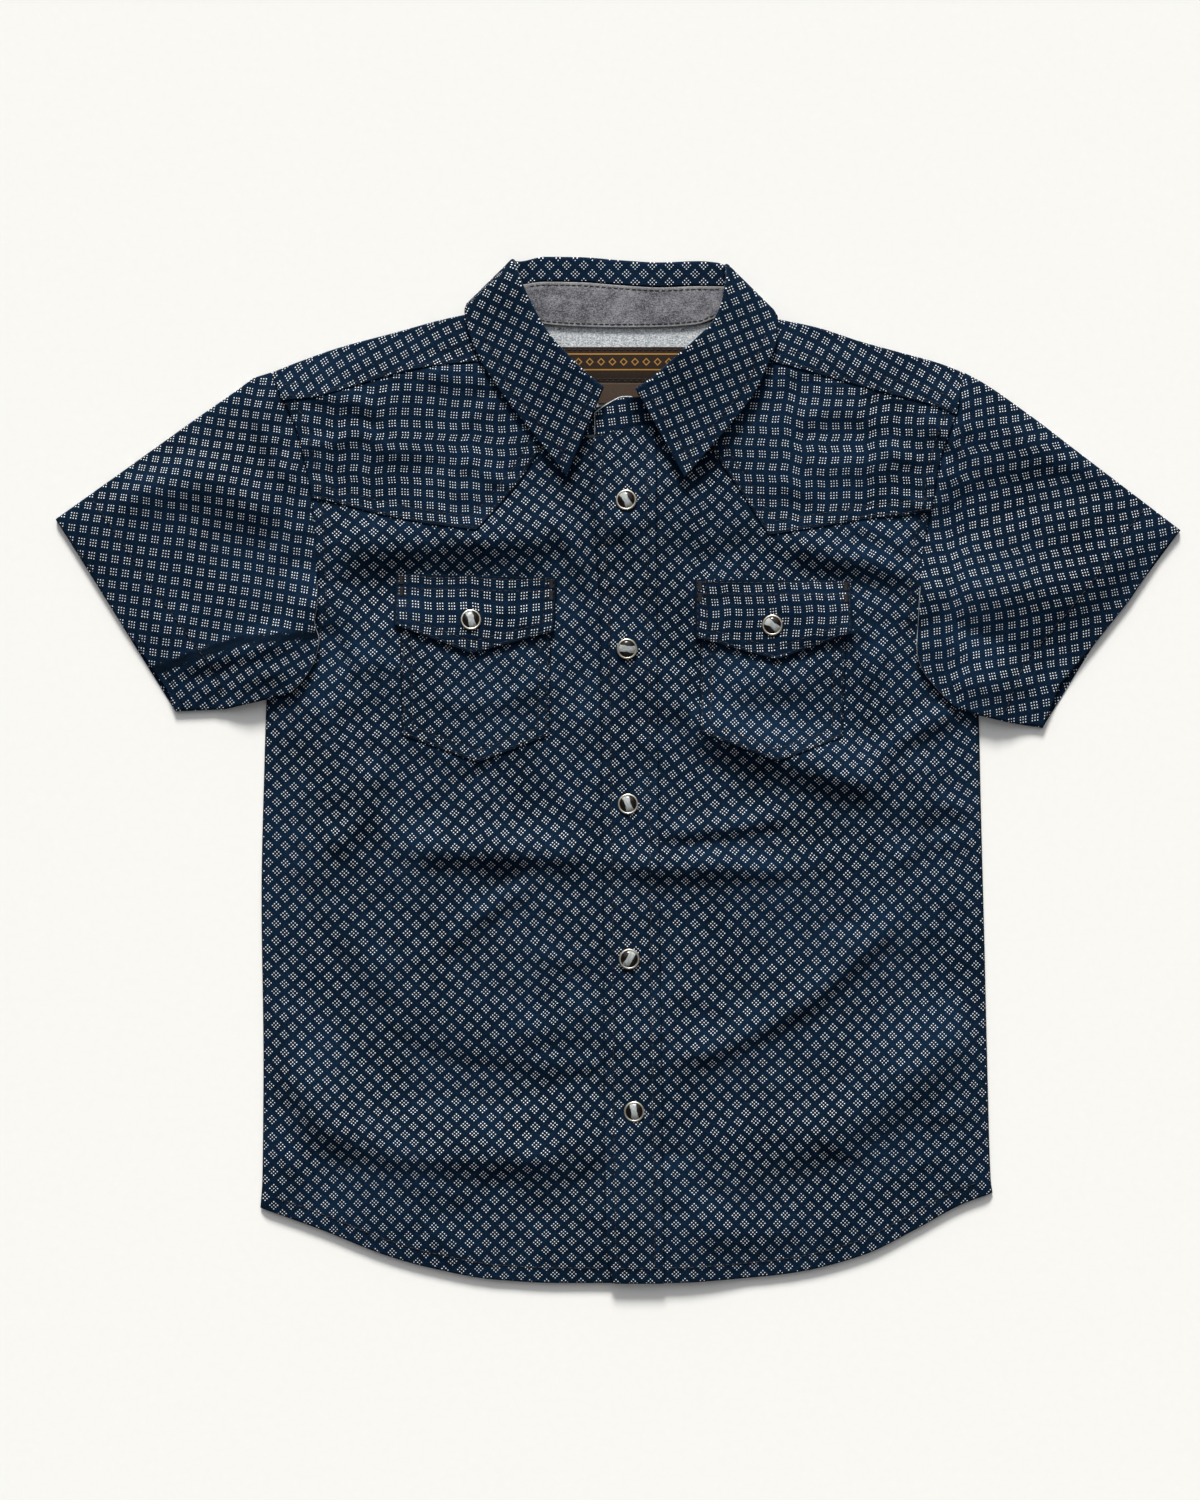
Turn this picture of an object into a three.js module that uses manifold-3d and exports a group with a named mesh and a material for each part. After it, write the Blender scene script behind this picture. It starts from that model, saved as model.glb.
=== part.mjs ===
// A child's short-sleeved western snap shirt, laid flat on its back with its front up.
// Millimetres. +X is the wearer's left, +Y runs to the collar, +Z is up. The surface it lies on is z = 0.
import * as THREE from 'three';
import { mergeVertices } from 'three/addons/utils/BufferGeometryUtils.js';
import Module from 'manifold-3d';

const wasm = await Module();
wasm.setup();

// Cloth thickness, the gap between pieces, and one layer of both
const WALL = 1.1;
const SEAM = 0.3;
const LAYER = WALL + SEAM;

// How far the front stands off the back, and how far in from the outline it has risen
const PUFF = 2.3;
const PUFF_RAMP = 30;
const NECK_RISE = { x: 1, y: 178, full: 45, none: 110, height: 1.5 };
// The back is lifted over the collar leaf that is folded behind the neck
const LEAF_LIFT = { x: 1, halfFull: 78, halfNone: 112, yFull: 192, yNone: 158 };
// The wearer's left front is lifted over the edge of the right front
const OVERLAP_FULL = 30;
const OVERLAP_NONE = 66;
const UNDER_EDGE_X = 14.7;

// A folded edge is this far out of the last point that lies flat
const FOLD_INSET = 1.3;
const HALF_LEAF = LAYER / 2;
// Snap sizes: ring, its chamfers, and the domed cap with its shoulder
const SNAP = {
  outer: 4.85,
  inner: 3.6,
  height: 1.5,
  foot: 0.3,
  chamfer: 0.5,
  cap: 3.25,
  dome: 1.9,
  shoulder: 0.95,
  crownRadius: 2,
  crownHeight: 1.7,
  segments: 16,
};

// Points nearer than this are one point; heights nearer than this are one height
const WELD = 1e-4;
const LEVEL = 0.01;
// Taller than the shirt, for outlines that cut it and for rays that fall on it
const ABOVE = 50;

// Shirttail hem, from the wearer's right side seam to the left one
const HEM = [
  { x: -164.7, y: -201.4 },
  { x: -136.6, y: -211.5 },
  { x: -107.6, y: -223.0 },
  { x: -86.5, y: -229.0 },
  { x: -56.1, y: -234.5 },
  { x: -26.7, y: -236.0 },
  { x: 21.6, y: -235.9 },
  { x: 65.3, y: -233.1 },
  { x: 83.7, y: -230.8 },
  { x: 113.2, y: -223.0 },
  { x: 136.6, y: -211.5 },
  { x: 157.8, y: -200.0 },
  { x: 172.5, y: -194.5 },
];

// Side seam and armhole of each side: x of the body's edge at each height y
const BODY_EDGE = {
  right: [
    { y: -201.4, x: -164.7 },
    { y: -188.5, x: -163.8 },
    { y: -133.3, x: -163.3 },
    { y: -59.7, x: -164.2 },
    { y: 4.7, x: -162.8 },
    { y: 32.3, x: -161.9 },
    { y: 50.0, x: -161.0 },
    { y: 56.0, x: -150.0 },
    { y: 64.0, x: -142.0 },
    { y: 74.0, x: -138.6 },
    { y: 88.0, x: -138.9 },
    { y: 106.0, x: -139.4 },
    { y: 122.0, x: -140.6 },
    { y: 138.0, x: -143.3 },
    { y: 155.0, x: -147.4 },
    { y: 171.2, x: -154.1 },
    { y: 183.2, x: -159.2 },
  ],
  left: [
    { y: -194.5, x: 172.5 },
    { y: -188.5, x: 171.6 },
    { y: -142.5, x: 170.2 },
    { y: -82.7, x: 168.8 },
    { y: -13.7, x: 167.0 },
    { y: 25.0, x: 166.1 },
    { y: 42.0, x: 165.0 },
    { y: 48.0, x: 154.0 },
    { y: 56.0, x: 144.0 },
    { y: 68.0, x: 138.4 },
    { y: 86.0, x: 139.3 },
    { y: 104.0, x: 140.8 },
    { y: 120.0, x: 144.2 },
    { y: 138.0, x: 147.0 },
    { y: 151.0, x: 150.6 },
    { y: 164.3, x: 155.5 },
    { y: 183.2, x: 158.7 },
  ],
};

// Heights of the grid rows at the armhole, shared by fronts, back, yoke and sleeves
const ARM_ROWS = {
  right: [56, 64, 74, 88, 106, 122, 138, 155, 171.2],
  left: [48, 56, 68, 86, 104, 120, 138, 151, 164.3],
};
const UNDERARM = { right: 50, left: 42 };
const SIDE_ROWS = 15;
const BACK_COLUMNS = 12;
const YOKE_ROWS = 6;
const HALVES = [0, 0.5, 1];
const LAP_COLUMNS = 2;
const SHOULDER_COLUMNS = 8;

// Top edge of each front: forward shoulder seam, then the neckline, one grid column a row
const FRONT_TOP = {
  right: [
    { x: -154.1, y: 171.2 },
    { x: -140.0, y: 172.4 },
    { x: -126.0, y: 176.2 },
    { x: -112.0, y: 180.6 },
    { x: -98.0, y: 184.4 },
    { x: -82.0, y: 187.3 },
    { x: -66.0, y: 188.7 },
    { x: -51.5, y: 189.4 },
    { x: -45.5, y: 181.5 },
    { x: -38.0, y: 171.2 },
    { x: -29.4, y: 162.8 },
    { x: -20.8, y: 156.4 },
  ],
  left: [
    { x: 155.5, y: 164.3 },
    { x: 142.0, y: 169.6 },
    { x: 128.0, y: 173.2 },
    { x: 113.0, y: 177.3 },
    { x: 98.0, y: 181.4 },
    { x: 84.0, y: 185.3 },
    { x: 70.0, y: 188.6 },
    { x: 55.0, y: 190.4 },
    { x: 48.0, y: 182.5 },
    { x: 41.5, y: 174.0 },
    { x: 32.8, y: 166.4 },
    { x: 23.5, y: 162.0 },
  ],
};
// Neckline over the lap of the two fronts
const LAP_TOP = [
  { x: -11.8, y: 152.6 },
  { x: 1.5, y: 156.6 },
  { x: 14.7, y: 159.2 },
];

// Free edge of the placket, and the seam on its other side: x at each height y
const PLACKET_EDGE = [
  { y: -235.4, x: -2.8 },
  { y: -216.1, x: -5.5 },
  { y: -151.7, x: -6.4 },
  { y: -59.7, x: -6.9 },
  { y: 13.9, x: -7.8 },
  { y: 78.3, x: -8.7 },
  { y: 110.5, x: -10.6 },
  { y: 153.0, x: -11.8 },
];
const PLACKET_SEAM = [
  { x: 21.6, y: -240.0 },
  { x: 19.8, y: -105.7 },
  { x: 18.4, y: 32.3 },
  { x: 17.5, y: 162.0 },
];

// Fold over each shoulder, from the armhole to the neck
const SHOULDER = {
  right: [
    { x: -159.2, y: 183.2 },
    { x: -146.3, y: 188.3 },
    { x: -127.9, y: 194.7 },
    { x: -100.3, y: 202.1 },
    { x: -81.9, y: 207.1 },
    { x: -71.3, y: 209.4 },
    { x: -51.5, y: 213.2 },
  ],
  left: [
    { x: 158.7, y: 183.2 },
    { x: 148.1, y: 187.3 },
    { x: 129.7, y: 192.4 },
    { x: 111.3, y: 197.5 },
    { x: 92.9, y: 203.4 },
    { x: 72.5, y: 207.8 },
    { x: 55.0, y: 211.8 },
  ],
};
// Back neckline between the shoulders, and the pointed seam under the back yoke
const BACK_NECK = [
  { x: -51.5, y: 213.2 },
  { x: -44.0, y: 208.4 },
  { x: -33.6, y: 205.4 },
  { x: -17.5, y: 204.3 },
  { x: 0.9, y: 204.0 },
  { x: 19.3, y: 204.1 },
  { x: 36.3, y: 205.3 },
  { x: 47.0, y: 208.0 },
  { x: 55.0, y: 211.8 },
];
const BACK_SEAM = [
  { x: -143.3, y: 138.0 },
  { x: -100.0, y: 128.5 },
  { x: -45.0, y: 118.5 },
  { x: 1.0, y: 109.5 },
  { x: 47.0, y: 118.5 },
  { x: 102.0, y: 128.5 },
  { x: 147.0, y: 138.0 },
];

// How far an outline runs past the panel that it is cut from
const BEYOND = 5;

// What lies on the fronts: outlines in plan
const FRONT_YOKE = {
  right: [
    { x: -160, y: 128.0 },
    { x: -130.2, y: 122.9 },
    { x: -109.5, y: 117.4 },
    { x: -86.5, y: 112.8 },
    { x: -64.9, y: 110.1 },
    { x: -54.3, y: 122.0 },
    { x: -45.1, y: 132.6 },
    { x: -35.4, y: 147.8 },
    { x: -24.0, y: 162.0 },
    { x: -24.0, y: 200.0 },
    { x: -160, y: 200.0 },
  ],
  left: [
    { x: 160, y: 121.5 },
    { x: 129.7, y: 116.5 },
    { x: 115.9, y: 115.6 },
    { x: 97.5, y: 112.4 },
    { x: 69.0, y: 107.8 },
    { x: 63.0, y: 117.4 },
    { x: 56.1, y: 128.0 },
    { x: 48.3, y: 139.0 },
    { x: 36.0, y: 158.0 },
    { x: 36.0, y: 200.0 },
    { x: 160, y: 200.0 },
  ],
};
const POCKET = {
  right: [
    { x: -100.6, y: 86.0 },
    { x: -99.4, y: 16.2 },
    { x: -64.4, y: 3.3 },
    { x: -31.7, y: 15.8 },
    { x: -30.4, y: 86.0 },
  ],
  left: [
    { x: 37.6, y: 84.0 },
    { x: 37.3, y: 17.1 },
    { x: 72.7, y: 3.8 },
    { x: 103.5, y: 15.3 },
    { x: 105.4, y: 84.0 },
  ],
};
const FLAP = {
  right: [
    { x: -102.1, y: 90.3 },
    { x: -103.0, y: 66.8 },
    { x: -67.2, y: 53.5 },
    { x: -29.4, y: 63.6 },
    { x: -28.1, y: 88.4 },
  ],
  left: [
    { x: 35.0, y: 87.5 },
    { x: 35.4, y: 60.8 },
    { x: 72.7, y: 50.7 },
    { x: 107.6, y: 62.7 },
    { x: 107.2, y: 87.1 },
  ],
};
const FLAP_FLARE = { from: 78, rate: 0.05 };

// Snap centres
const PLACKET_SNAPS = [
  { x: 3.7, y: 123.9 },
  { x: 4.1, y: 55.8 },
  { x: 4.6, y: -15.5 },
  { x: 5.1, y: -86.6 },
  { x: 7.4, y: -156.7 },
];
const FLAP_SNAPS = {
  right: { x: -67.6, y: 69.1 },
  left: { x: 70.8, y: 66.6 },
};

// Sleeve folds and cuffs. shoulder and under run from the body to the cuff
const SLEEVE = {
  right: {
    shoulder: [
      { x: -159.8, y: 183.2 },
      { x: -168.0, y: 180.6 },
      { x: -174.8, y: 175.4 },
      { x: -196.9, y: 160.0 },
      { x: -229.1, y: 136.9 },
      { x: -259.0, y: 115.6 },
    ],
    under: [
      { x: -150.9, y: 35.1 },
      { x: -162.4, y: 32.2 },
      { x: -180.8, y: 28.0 },
      { x: -203.8, y: 27.0 },
    ],
    cuffTop: [
      { x: -259.0, y: 115.6 },
      { x: -251.0, y: 103.0 },
      { x: -229.1, y: 69.1 },
      { x: -208.0, y: 38.5 },
      { x: -203.8, y: 27.0 },
    ],
    cuffBack: [
      { x: -259.0, y: 115.6 },
      { x: -231.4, y: 71.4 },
      { x: -203.8, y: 27.0 },
    ],
    overBody: [
      { x: -137.2, y: 60.0 },
      { x: -139.5, y: 50.0 },
      { x: -145.0, y: 41.0 },
      { x: -150.9, y: 35.1 },
    ],
  },
  left: {
    shoulder: [
      { x: 159.3, y: 183.2 },
      { x: 167.5, y: 178.8 },
      { x: 175.7, y: 173.5 },
      { x: 194.1, y: 160.2 },
      { x: 212.5, y: 146.0 },
      { x: 259.0, y: 110.5 },
    ],
    under: [
      { x: 155.0, y: 28.6 },
      { x: 166.5, y: 25.0 },
      { x: 180.3, y: 21.7 },
      { x: 195.5, y: 19.4 },
    ],
    cuffTop: [
      { x: 259.0, y: 110.5 },
      { x: 249.3, y: 99.0 },
      { x: 235.5, y: 78.3 },
      { x: 220.8, y: 59.9 },
      { x: 203.3, y: 39.2 },
      { x: 195.5, y: 19.4 },
    ],
    cuffBack: [
      { x: 259.0, y: 110.5 },
      { x: 234.0, y: 76.8 },
      { x: 218.6, y: 56.8 },
      { x: 195.5, y: 19.4 },
    ],
    overBody: [
      { x: 137.0, y: 56.0 },
      { x: 138.8, y: 48.0 },
      { x: 145.5, y: 38.5 },
      { x: 155.0, y: 28.6 },
    ],
  },
};
const SLEEVE_STATIONS = 8;
// Where the sleeve's lower layer is lifted onto the side of the body
const SLEEVE_LIFT = { near: 6, far: 24, yFull: 78, yNone: 106, slack: 0.5 };
// The armhole's seam is a little wider than the others, and follows the body's edge down to here
const ARM_SEAM = 0.4;
const ARM_LOW = 60;

// Collar, one section a row from the wearer's right tip round the back to the left tip.
// roll: the folded edge, edge: the free edge of the leaf, neck: the seam on the band's other side,
// strip: cloth between roll and band, turn: 0 with the leaf up, 180 with it under the neck,
// level: height of the fold's middle where it isn't worked out, seam: height of the neck seam there,
// lift: rise of the free edge
const COLLAR = [
  { roll: [-6.9, 174.4], edge: [-23.5, 134.4], neck: [-14.6, 154.9], strip: 2.5, turn: 0, lift: 0.8 },
  { roll: [-13.4, 179.6], edge: [-31.4, 144.6], neck: [-21.4, 158.4], strip: 2.5, turn: 0, lift: 0.5 },
  { roll: [-23.0, 188.7], edge: [-46.0, 163.0], neck: [-30.1, 164.5], strip: 3, turn: 0, lift: 0.3 },
  { roll: [-32.2, 198.8], edge: [-56.0, 176.4], neck: [-38.6, 172.8], strip: 4, turn: 0, lift: 0.3 },
  { roll: [-38.6, 209.4], edge: [-64.6, 190.6], neck: [-45.4, 184.6], strip: 5, turn: 5, lift: 0.3 },
  {
    roll: [-44.2, 221.0], edge: [-69.4, 204.2], neck: [-50.2, 201.0],
    strip: 4.5, turn: 20, level: 6.6, seam: 4.6, lift: 0.3,
  },
  {
    roll: [-47.6, 230.4], edge: [-70.2, 211.0], neck: [-50.4, 210.6],
    strip: 4.5, turn: 55, level: 6.0, seam: 3.9,
  },
  {
    roll: [-48.4, 233.5], edge: [-69.0, 213.2], neck: [-48.8, 212.8],
    strip: 5.5, turn: 85, level: 4.4, seam: 3.3,
  },
  {
    roll: [-48.3, 233.4], edge: [-68.9, 213.2], neck: [-46.4, 212.0],
    strip: 7, turn: 115, level: 2.4, seam: 2.6,
  },
  {
    roll: [-46.0, 233.2], edge: [-66.4, 211.6], neck: [-42.6, 209.6],
    strip: 9.5, turn: 165, level: 1.4, seam: 2.0,
  },
  { roll: [-33.6, 235.2], edge: [-40.5, 199.3], neck: [-33.4, 206.4], strip: 10, turn: 180, level: 1.25 },
  { roll: [-17.5, 235.0], edge: [-19.8, 196.5], neck: [-17.4, 205.2], strip: 10, turn: 180, level: 1.25 },
  { roll: [0.9, 233.6], edge: [0.9, 195.6], neck: [0.9, 204.8], strip: 10, turn: 180, level: 1.25 },
  { roll: [19.3, 232.6], edge: [21.6, 196.1], neck: [19.2, 205.0], strip: 10, turn: 180, level: 1.25 },
  { roll: [36.3, 233.2], edge: [43.2, 198.8], neck: [36.0, 206.2], strip: 10, turn: 180, level: 1.25 },
  {
    roll: [46.6, 232.6], edge: [67.0, 209.4], neck: [45.4, 209.4],
    strip: 9.5, turn: 165, level: 1.4, seam: 2.0,
  },
  {
    roll: [49.6, 231.0], edge: [70.6, 210.6], neck: [50.0, 211.0],
    strip: 7, turn: 115, level: 2.4, seam: 2.6,
  },
  {
    roll: [49.8, 231.0], edge: [70.8, 210.6], neck: [52.6, 212.2],
    strip: 5.5, turn: 85, level: 4.4, seam: 3.3,
  },
  {
    roll: [50.2, 228.0], edge: [73.0, 207.6], neck: [54.0, 210.0],
    strip: 4.5, turn: 55, level: 6.0, seam: 3.9,
  },
  {
    roll: [49.2, 217.6], edge: [73.0, 198.6], neck: [53.8, 200.6],
    strip: 4.5, turn: 20, level: 6.6, seam: 4.6, lift: 1.2,
  },
  { roll: [44.6, 205.4], edge: [69.0, 186.4], neck: [48.4, 185.4], strip: 5, turn: 5, lift: 1.8 },
  { roll: [36.6, 196.8], edge: [62.6, 172.8], neck: [42.0, 176.2], strip: 4, turn: 0, lift: 2.2 },
  { roll: [27.6, 188.8], edge: [53.4, 160.4], neck: [33.6, 168.6], strip: 3, turn: 0, lift: 2.4 },
  { roll: [16.6, 179.2], edge: [41.6, 146.6], neck: [23.8, 163.4], strip: 2.5, turn: 0, lift: 2.4 },
  { roll: [8.4, 173.6], edge: [30.4, 133.5], neck: [14.2, 160.4], strip: 2.5, turn: 0, lift: 2.4 },
];
const LEAF_COLUMNS = 4;
const LEAF_CROWN = 0.7;
const LEAF_CLEAR = 0.6;
// Sections turned less than flat rest on the fronts; past upright they go under the neck
const TURN = { flat: 30, upright: 90, under: 150 };
const ROLL_RISE = 0.6;
// The band's upper edge tucks this far under the leaf at the sides of the neck
const BAND_DROP = 0.8;
const BAND_GAP = 0.45;
// The band runs on past the left leaf to its rounded end, on top of the lap
const BAND_END = [
  { top: [0.4, 171.0], neck: [1.4, 157.9] },
  { top: [-5.2, 168.6], neck: [-4.4, 156.4] },
  { top: [-9.4, 164.6], neck: [-9.2, 155.2] },
];
const FACING = { from: -41, to: 41, columns: 10, lower: 0.8, upper: 0.6 };

// Woven label and size tab, inside the back neck
const LABEL = { left: -32.2, right: 38.6, bottom: 178.6, top: 194.7 };
const SIZE_TAB = { left: -9.2, right: 15.6, bottom: 168.5, top: 178.2 };

// The largest folds: ridges are positive, troughs negative; width is half of the fold
const FOLDS = [
  { name: 'chest_right', height: 1.9, width: 9, path: [[-136, 107], [-90, 109], [-28, 111]] },
  { name: 'under_chest_right', height: -0.9, width: 8, path: [[-136, 92], [-90, 92], [-32, 95]] },
  { name: 'chest_left', height: 1.7, width: 8, path: [[70, 104], [100, 104], [137, 97]] },
  { name: 'under_chest_left', height: -0.8, width: 7, path: [[72, 93], [110, 90], [136, 88]] },
  { name: 'sleeve_right', height: 1.9, width: 9, path: [[-226, 128], [-192, 134], [-150, 115]] },
  { name: 'sleeve_right_head', height: -1.3, width: 6, path: [[-170, 168], [-164, 150], [-155, 128]] },
  { name: 'sleeve_right_under', height: 1.3, width: 8, path: [[-150, 62], [-176, 60], [-212, 50]] },
  { name: 'sleeve_left_head', height: 1.3, width: 9, path: [[172, 160], [196, 152], [224, 136]] },
  { name: 'sleeve_left_valley', height: -1.8, width: 9, path: [[143, 103], [176, 119], [232, 128]] },
  { name: 'sleeve_left', height: 2.2, width: 10, path: [[142, 88], [180, 94], [246, 105]] },
  { name: 'sleeve_left_lower', height: -1.3, width: 8, path: [[150, 72], [176, 67], [216, 57]] },
  { name: 'under_pocket_left', height: 2.3, width: 8, path: [[24, 25], [65, 7], [124, -14]] },
  { name: 'below_pocket_left', height: -0.9, width: 9, path: [[40, 4], [80, -9], [126, -30]] },
  { name: 'waist_right', height: 2.1, width: 8, path: [[-103, -34], [-60, -36], [-8, -37]] },
  { name: 'waist_left', height: 1.8, width: 7, path: [[-4, -42], [40, -42], [76, -41]] },
  { name: 'waist_left_upper', height: 1.3, width: 6, path: [[20, -31], [50, -28], [79, -22]] },
  {
    name: 'curve_right', height: -1.4, width: 10,
    path: [[-150, -40], [-143, -66], [-128, -99], [-98, -132], [-12, -148]],
  },
  {
    name: 'skirt_right', height: 2.3, width: 14,
    path: [[-152, -128], [-126, -162], [-86, -172], [-10, -169]],
  },
  { name: 'curve_left', height: 1.6, width: 7, path: [[137, -67], [107, -91], [65, -119], [30, -131]] },
  { name: 'skirt_left', height: 2.1, width: 13, path: [[158, -112], [138, -144], [110, -165], [78, -177]] },
  { name: 'side_right', height: -1.1, width: 7, path: [[-131, 60], [-126, 10], [-115, -4], [-126, -36]] },
  { name: 'side_left', height: -1.1, width: 7, path: [[138, 16], [137, -32], [121, -50]] },
];
const FOLD_EDGE = 16;

// Colours of the cloth, the grey facing, the label and the snaps
const NAVY = 0x1c2c48;
const GREY = 0x77787d;
const BROWN = 0x3a2c22;
const TAN = 0x8a7a66;
const METAL = 0xcfc8b4;
const BLACK = 0x0b0b0c;

const shirt = new THREE.Group();

function clamp01(value) {
  return Math.min(1, Math.max(0, value));
}

function smooth(value) {
  const t = clamp01(value);
  return t * t * (3 - 2 * t);
}

function mix(a, b, t) {
  return a + (b - a) * t;
}

// A curve through table rows, without overshoot, held at its ends
function through(rows, key, value) {
  const sorted = [...rows].sort((a, b) => a[key] - b[key]);
  const ks = sorted.map((row) => row[key]);
  const vs = sorted.map((row) => row[value]);
  const rates = ks.slice(1).map((k, i) => (vs[i + 1] - vs[i]) / (k - ks[i]));
  const slopes = ks.map((k, i) => {
    if (i === 0) return rates[0];
    if (i === ks.length - 1) return rates[i - 1];
    const before = rates[i - 1];
    const after = rates[i];
    return before * after <= 0 ? 0 : (2 * before * after) / (before + after);
  });
  return (at) => {
    if (at <= ks[0]) return vs[0];
    if (at >= ks[ks.length - 1]) return vs[vs.length - 1];
    const i = ks.findIndex((k, n) => n + 1 < ks.length && at < ks[n + 1]);
    const span = ks[i + 1] - ks[i];
    const t = (at - ks[i]) / span;
    const bend = t * t * (3 - 2 * t);
    const lead = t * (1 - t) * (1 - t) * slopes[i] * span;
    const trail = t * t * (t - 1) * slopes[i + 1] * span;
    return mix(vs[i], vs[i + 1], bend) + lead + trail;
  };
}

// A point at a share of the length of a polyline
function alongPath(points) {
  const lengths = [0];
  points.slice(1).forEach((p, i) => {
    lengths.push(lengths[i] + Math.hypot(p.x - points[i].x, p.y - points[i].y));
  });
  const total = lengths[lengths.length - 1];
  return (share) => {
    const target = clamp01(share) * total;
    const i = Math.min(points.length - 2, lengths.filter((length) => length < target).length - 1);
    const from = Math.max(0, i);
    const t = (target - lengths[from]) / (lengths[from + 1] - lengths[from]);
    return {
      x: mix(points[from].x, points[from + 1].x, t),
      y: mix(points[from].y, points[from + 1].y, t),
    };
  };
}

function segmentDistance(x, y, ax, ay, bx, by) {
  const dx = bx - ax;
  const dy = by - ay;
  const t = clamp01(((x - ax) * dx + (y - ay) * dy) / (dx * dx + dy * dy));
  return Math.hypot(x - ax - t * dx, y - ay - t * dy);
}

const hemY = through(HEM, 'x', 'y');
const placketX = through(PLACKET_EDGE, 'y', 'x');
const backSeamY = through(BACK_SEAM, 'x', 'y');
const backNeckY = through(BACK_NECK, 'x', 'y');
const edgeX = {
  right: through(BODY_EDGE.right, 'y', 'x'),
  left: through(BODY_EDGE.left, 'y', 'x'),
};
const shoulderY = {
  right: through(SHOULDER.right, 'x', 'y'),
  left: through(SHOULDER.left, 'x', 'y'),
};

// The whole outline in plan, open across the neck
const OUTLINE = [
  ...[...SHOULDER.right].reverse(),
  ...SLEEVE.right.shoulder,
  ...SLEEVE.right.cuffBack,
  ...[...SLEEVE.right.under].reverse().slice(0, -1),
  ...BODY_EDGE.right.filter((row) => row.y < UNDERARM.right - SLEEVE_LIFT.near).reverse(),
  ...HEM,
  ...BODY_EDGE.left.filter((row) => row.y < UNDERARM.left - SLEEVE_LIFT.near),
  ...SLEEVE.left.under.slice(1),
  ...[...SLEEVE.left.cuffBack].reverse(),
  ...[...SLEEVE.left.shoulder].reverse(),
  ...SHOULDER.left,
];

function edgeDistance(x, y) {
  let best = Infinity;
  for (let i = 1; i < OUTLINE.length; i += 1) {
    const a = OUTLINE[i - 1];
    const b = OUTLINE[i];
    if (a.x === b.x && a.y === b.y) continue;
    best = Math.min(best, segmentDistance(x, y, a.x, a.y, b.x, b.y));
  }
  return best;
}

function foldHeight(x, y) {
  let sum = 0;
  for (const fold of FOLDS) {
    let distance = Infinity;
    for (let i = 1; i < fold.path.length; i += 1) {
      const [ax, ay] = fold.path[i - 1];
      const [bx, by] = fold.path[i];
      distance = Math.min(distance, segmentDistance(x, y, ax, ay, bx, by));
    }
    sum += fold.height * Math.exp(-((distance / fold.width) ** 2));
  }
  return sum;
}

function backBottom(x, y) {
  const reach = LEAF_LIFT.halfNone - LEAF_LIFT.halfFull;
  const across = smooth((LEAF_LIFT.halfNone - Math.abs(x - LEAF_LIFT.x)) / reach);
  const along = smooth((y - LEAF_LIFT.yNone) / (LEAF_LIFT.yFull - LEAF_LIFT.yNone));
  return LAYER * across * along;
}

// Height of the underside of the upper cloth: fronts, shoulder strips and sleeve tops
function frontBottom(x, y) {
  const distance = edgeDistance(x, y);
  const ramp = clamp01(distance / PUFF_RAMP);
  const puff = PUFF * (1 - (1 - ramp) ** 2);
  const toNeck = Math.hypot(x - NECK_RISE.x, y - NECK_RISE.y);
  const neck = smooth((NECK_RISE.none - toNeck) / (NECK_RISE.none - NECK_RISE.full));
  const folds = foldHeight(x, y) * smooth(distance / FOLD_EDGE);
  const rise = puff + NECK_RISE.height * neck * ramp + folds;
  const back = backBottom(x, y) + LAYER;
  const lifted = back > LAYER + LEVEL ? back + SEAM * ramp : back;
  return Math.max(lifted, LAYER + rise);
}

function lapLift(x) {
  return LAYER * smooth((OVERLAP_NONE - x) / (OVERLAP_NONE - OVERLAP_FULL));
}

// Closed wall between two grids of the same shape; present says which cells are there
function closedWall(outer, inner, { wrap = false, present = () => true } = {}) {
  const rows = outer.length;
  const columns = outer[0].length;
  const positions = [...outer.flat(), ...inner.flat()].flatMap((p) => [p.x, p.y, p.z]);
  const index = [];
  const cells = wrap ? columns : columns - 1;
  const id = (layer, i, j) => layer * rows * columns + i * columns + (j % columns);
  const has = (i, j) => {
    if (i < 0 || i >= rows - 1) return false;
    if (!wrap && (j < 0 || j >= cells)) return false;
    return present(i, (j + cells) % cells);
  };
  const quad = (a, b, c, d) => index.push(a, b, c, a, c, d);
  const side = (i, j, k, l) => quad(id(0, i, j), id(1, i, j), id(1, k, l), id(0, k, l));
  for (let i = 0; i < rows - 1; i += 1) {
    for (let j = 0; j < cells; j += 1) {
      if (!has(i, j)) continue;
      quad(id(0, i, j), id(0, i, j + 1), id(0, i + 1, j + 1), id(0, i + 1, j));
      quad(id(1, i, j), id(1, i + 1, j), id(1, i + 1, j + 1), id(1, i, j + 1));
      if (!has(i - 1, j)) side(i, j, i, j + 1);
      if (!has(i + 1, j)) side(i + 1, j + 1, i + 1, j);
      if (!has(i, j - 1)) side(i + 1, j, i, j);
      if (!has(i, j + 1)) side(i, j + 1, i + 1, j + 1);
    }
  }
  const geometry = new THREE.BufferGeometry();
  geometry.setAttribute('position', new THREE.Float32BufferAttribute(positions, 3));
  geometry.setIndex(index);
  return facingOut(mergeVertices(geometry, WELD));
}

function signedVolume(geometry) {
  const position = geometry.attributes.position;
  const order = geometry.index.array;
  const [a, b, c] = [new THREE.Vector3(), new THREE.Vector3(), new THREE.Vector3()];
  let volume = 0;
  for (let i = 0; i < order.length; i += 3) {
    a.fromBufferAttribute(position, order[i]);
    b.fromBufferAttribute(position, order[i + 1]);
    c.fromBufferAttribute(position, order[i + 2]);
    volume += a.dot(b.cross(c)) / 6;
  }
  return volume;
}

function facingOut(geometry) {
  if (signedVolume(geometry) > 0) return geometry;
  const order = geometry.index.array;
  for (let i = 0; i < order.length; i += 3) {
    [order[i], order[i + 1]] = [order[i + 1], order[i]];
  }
  return geometry;
}

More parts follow.
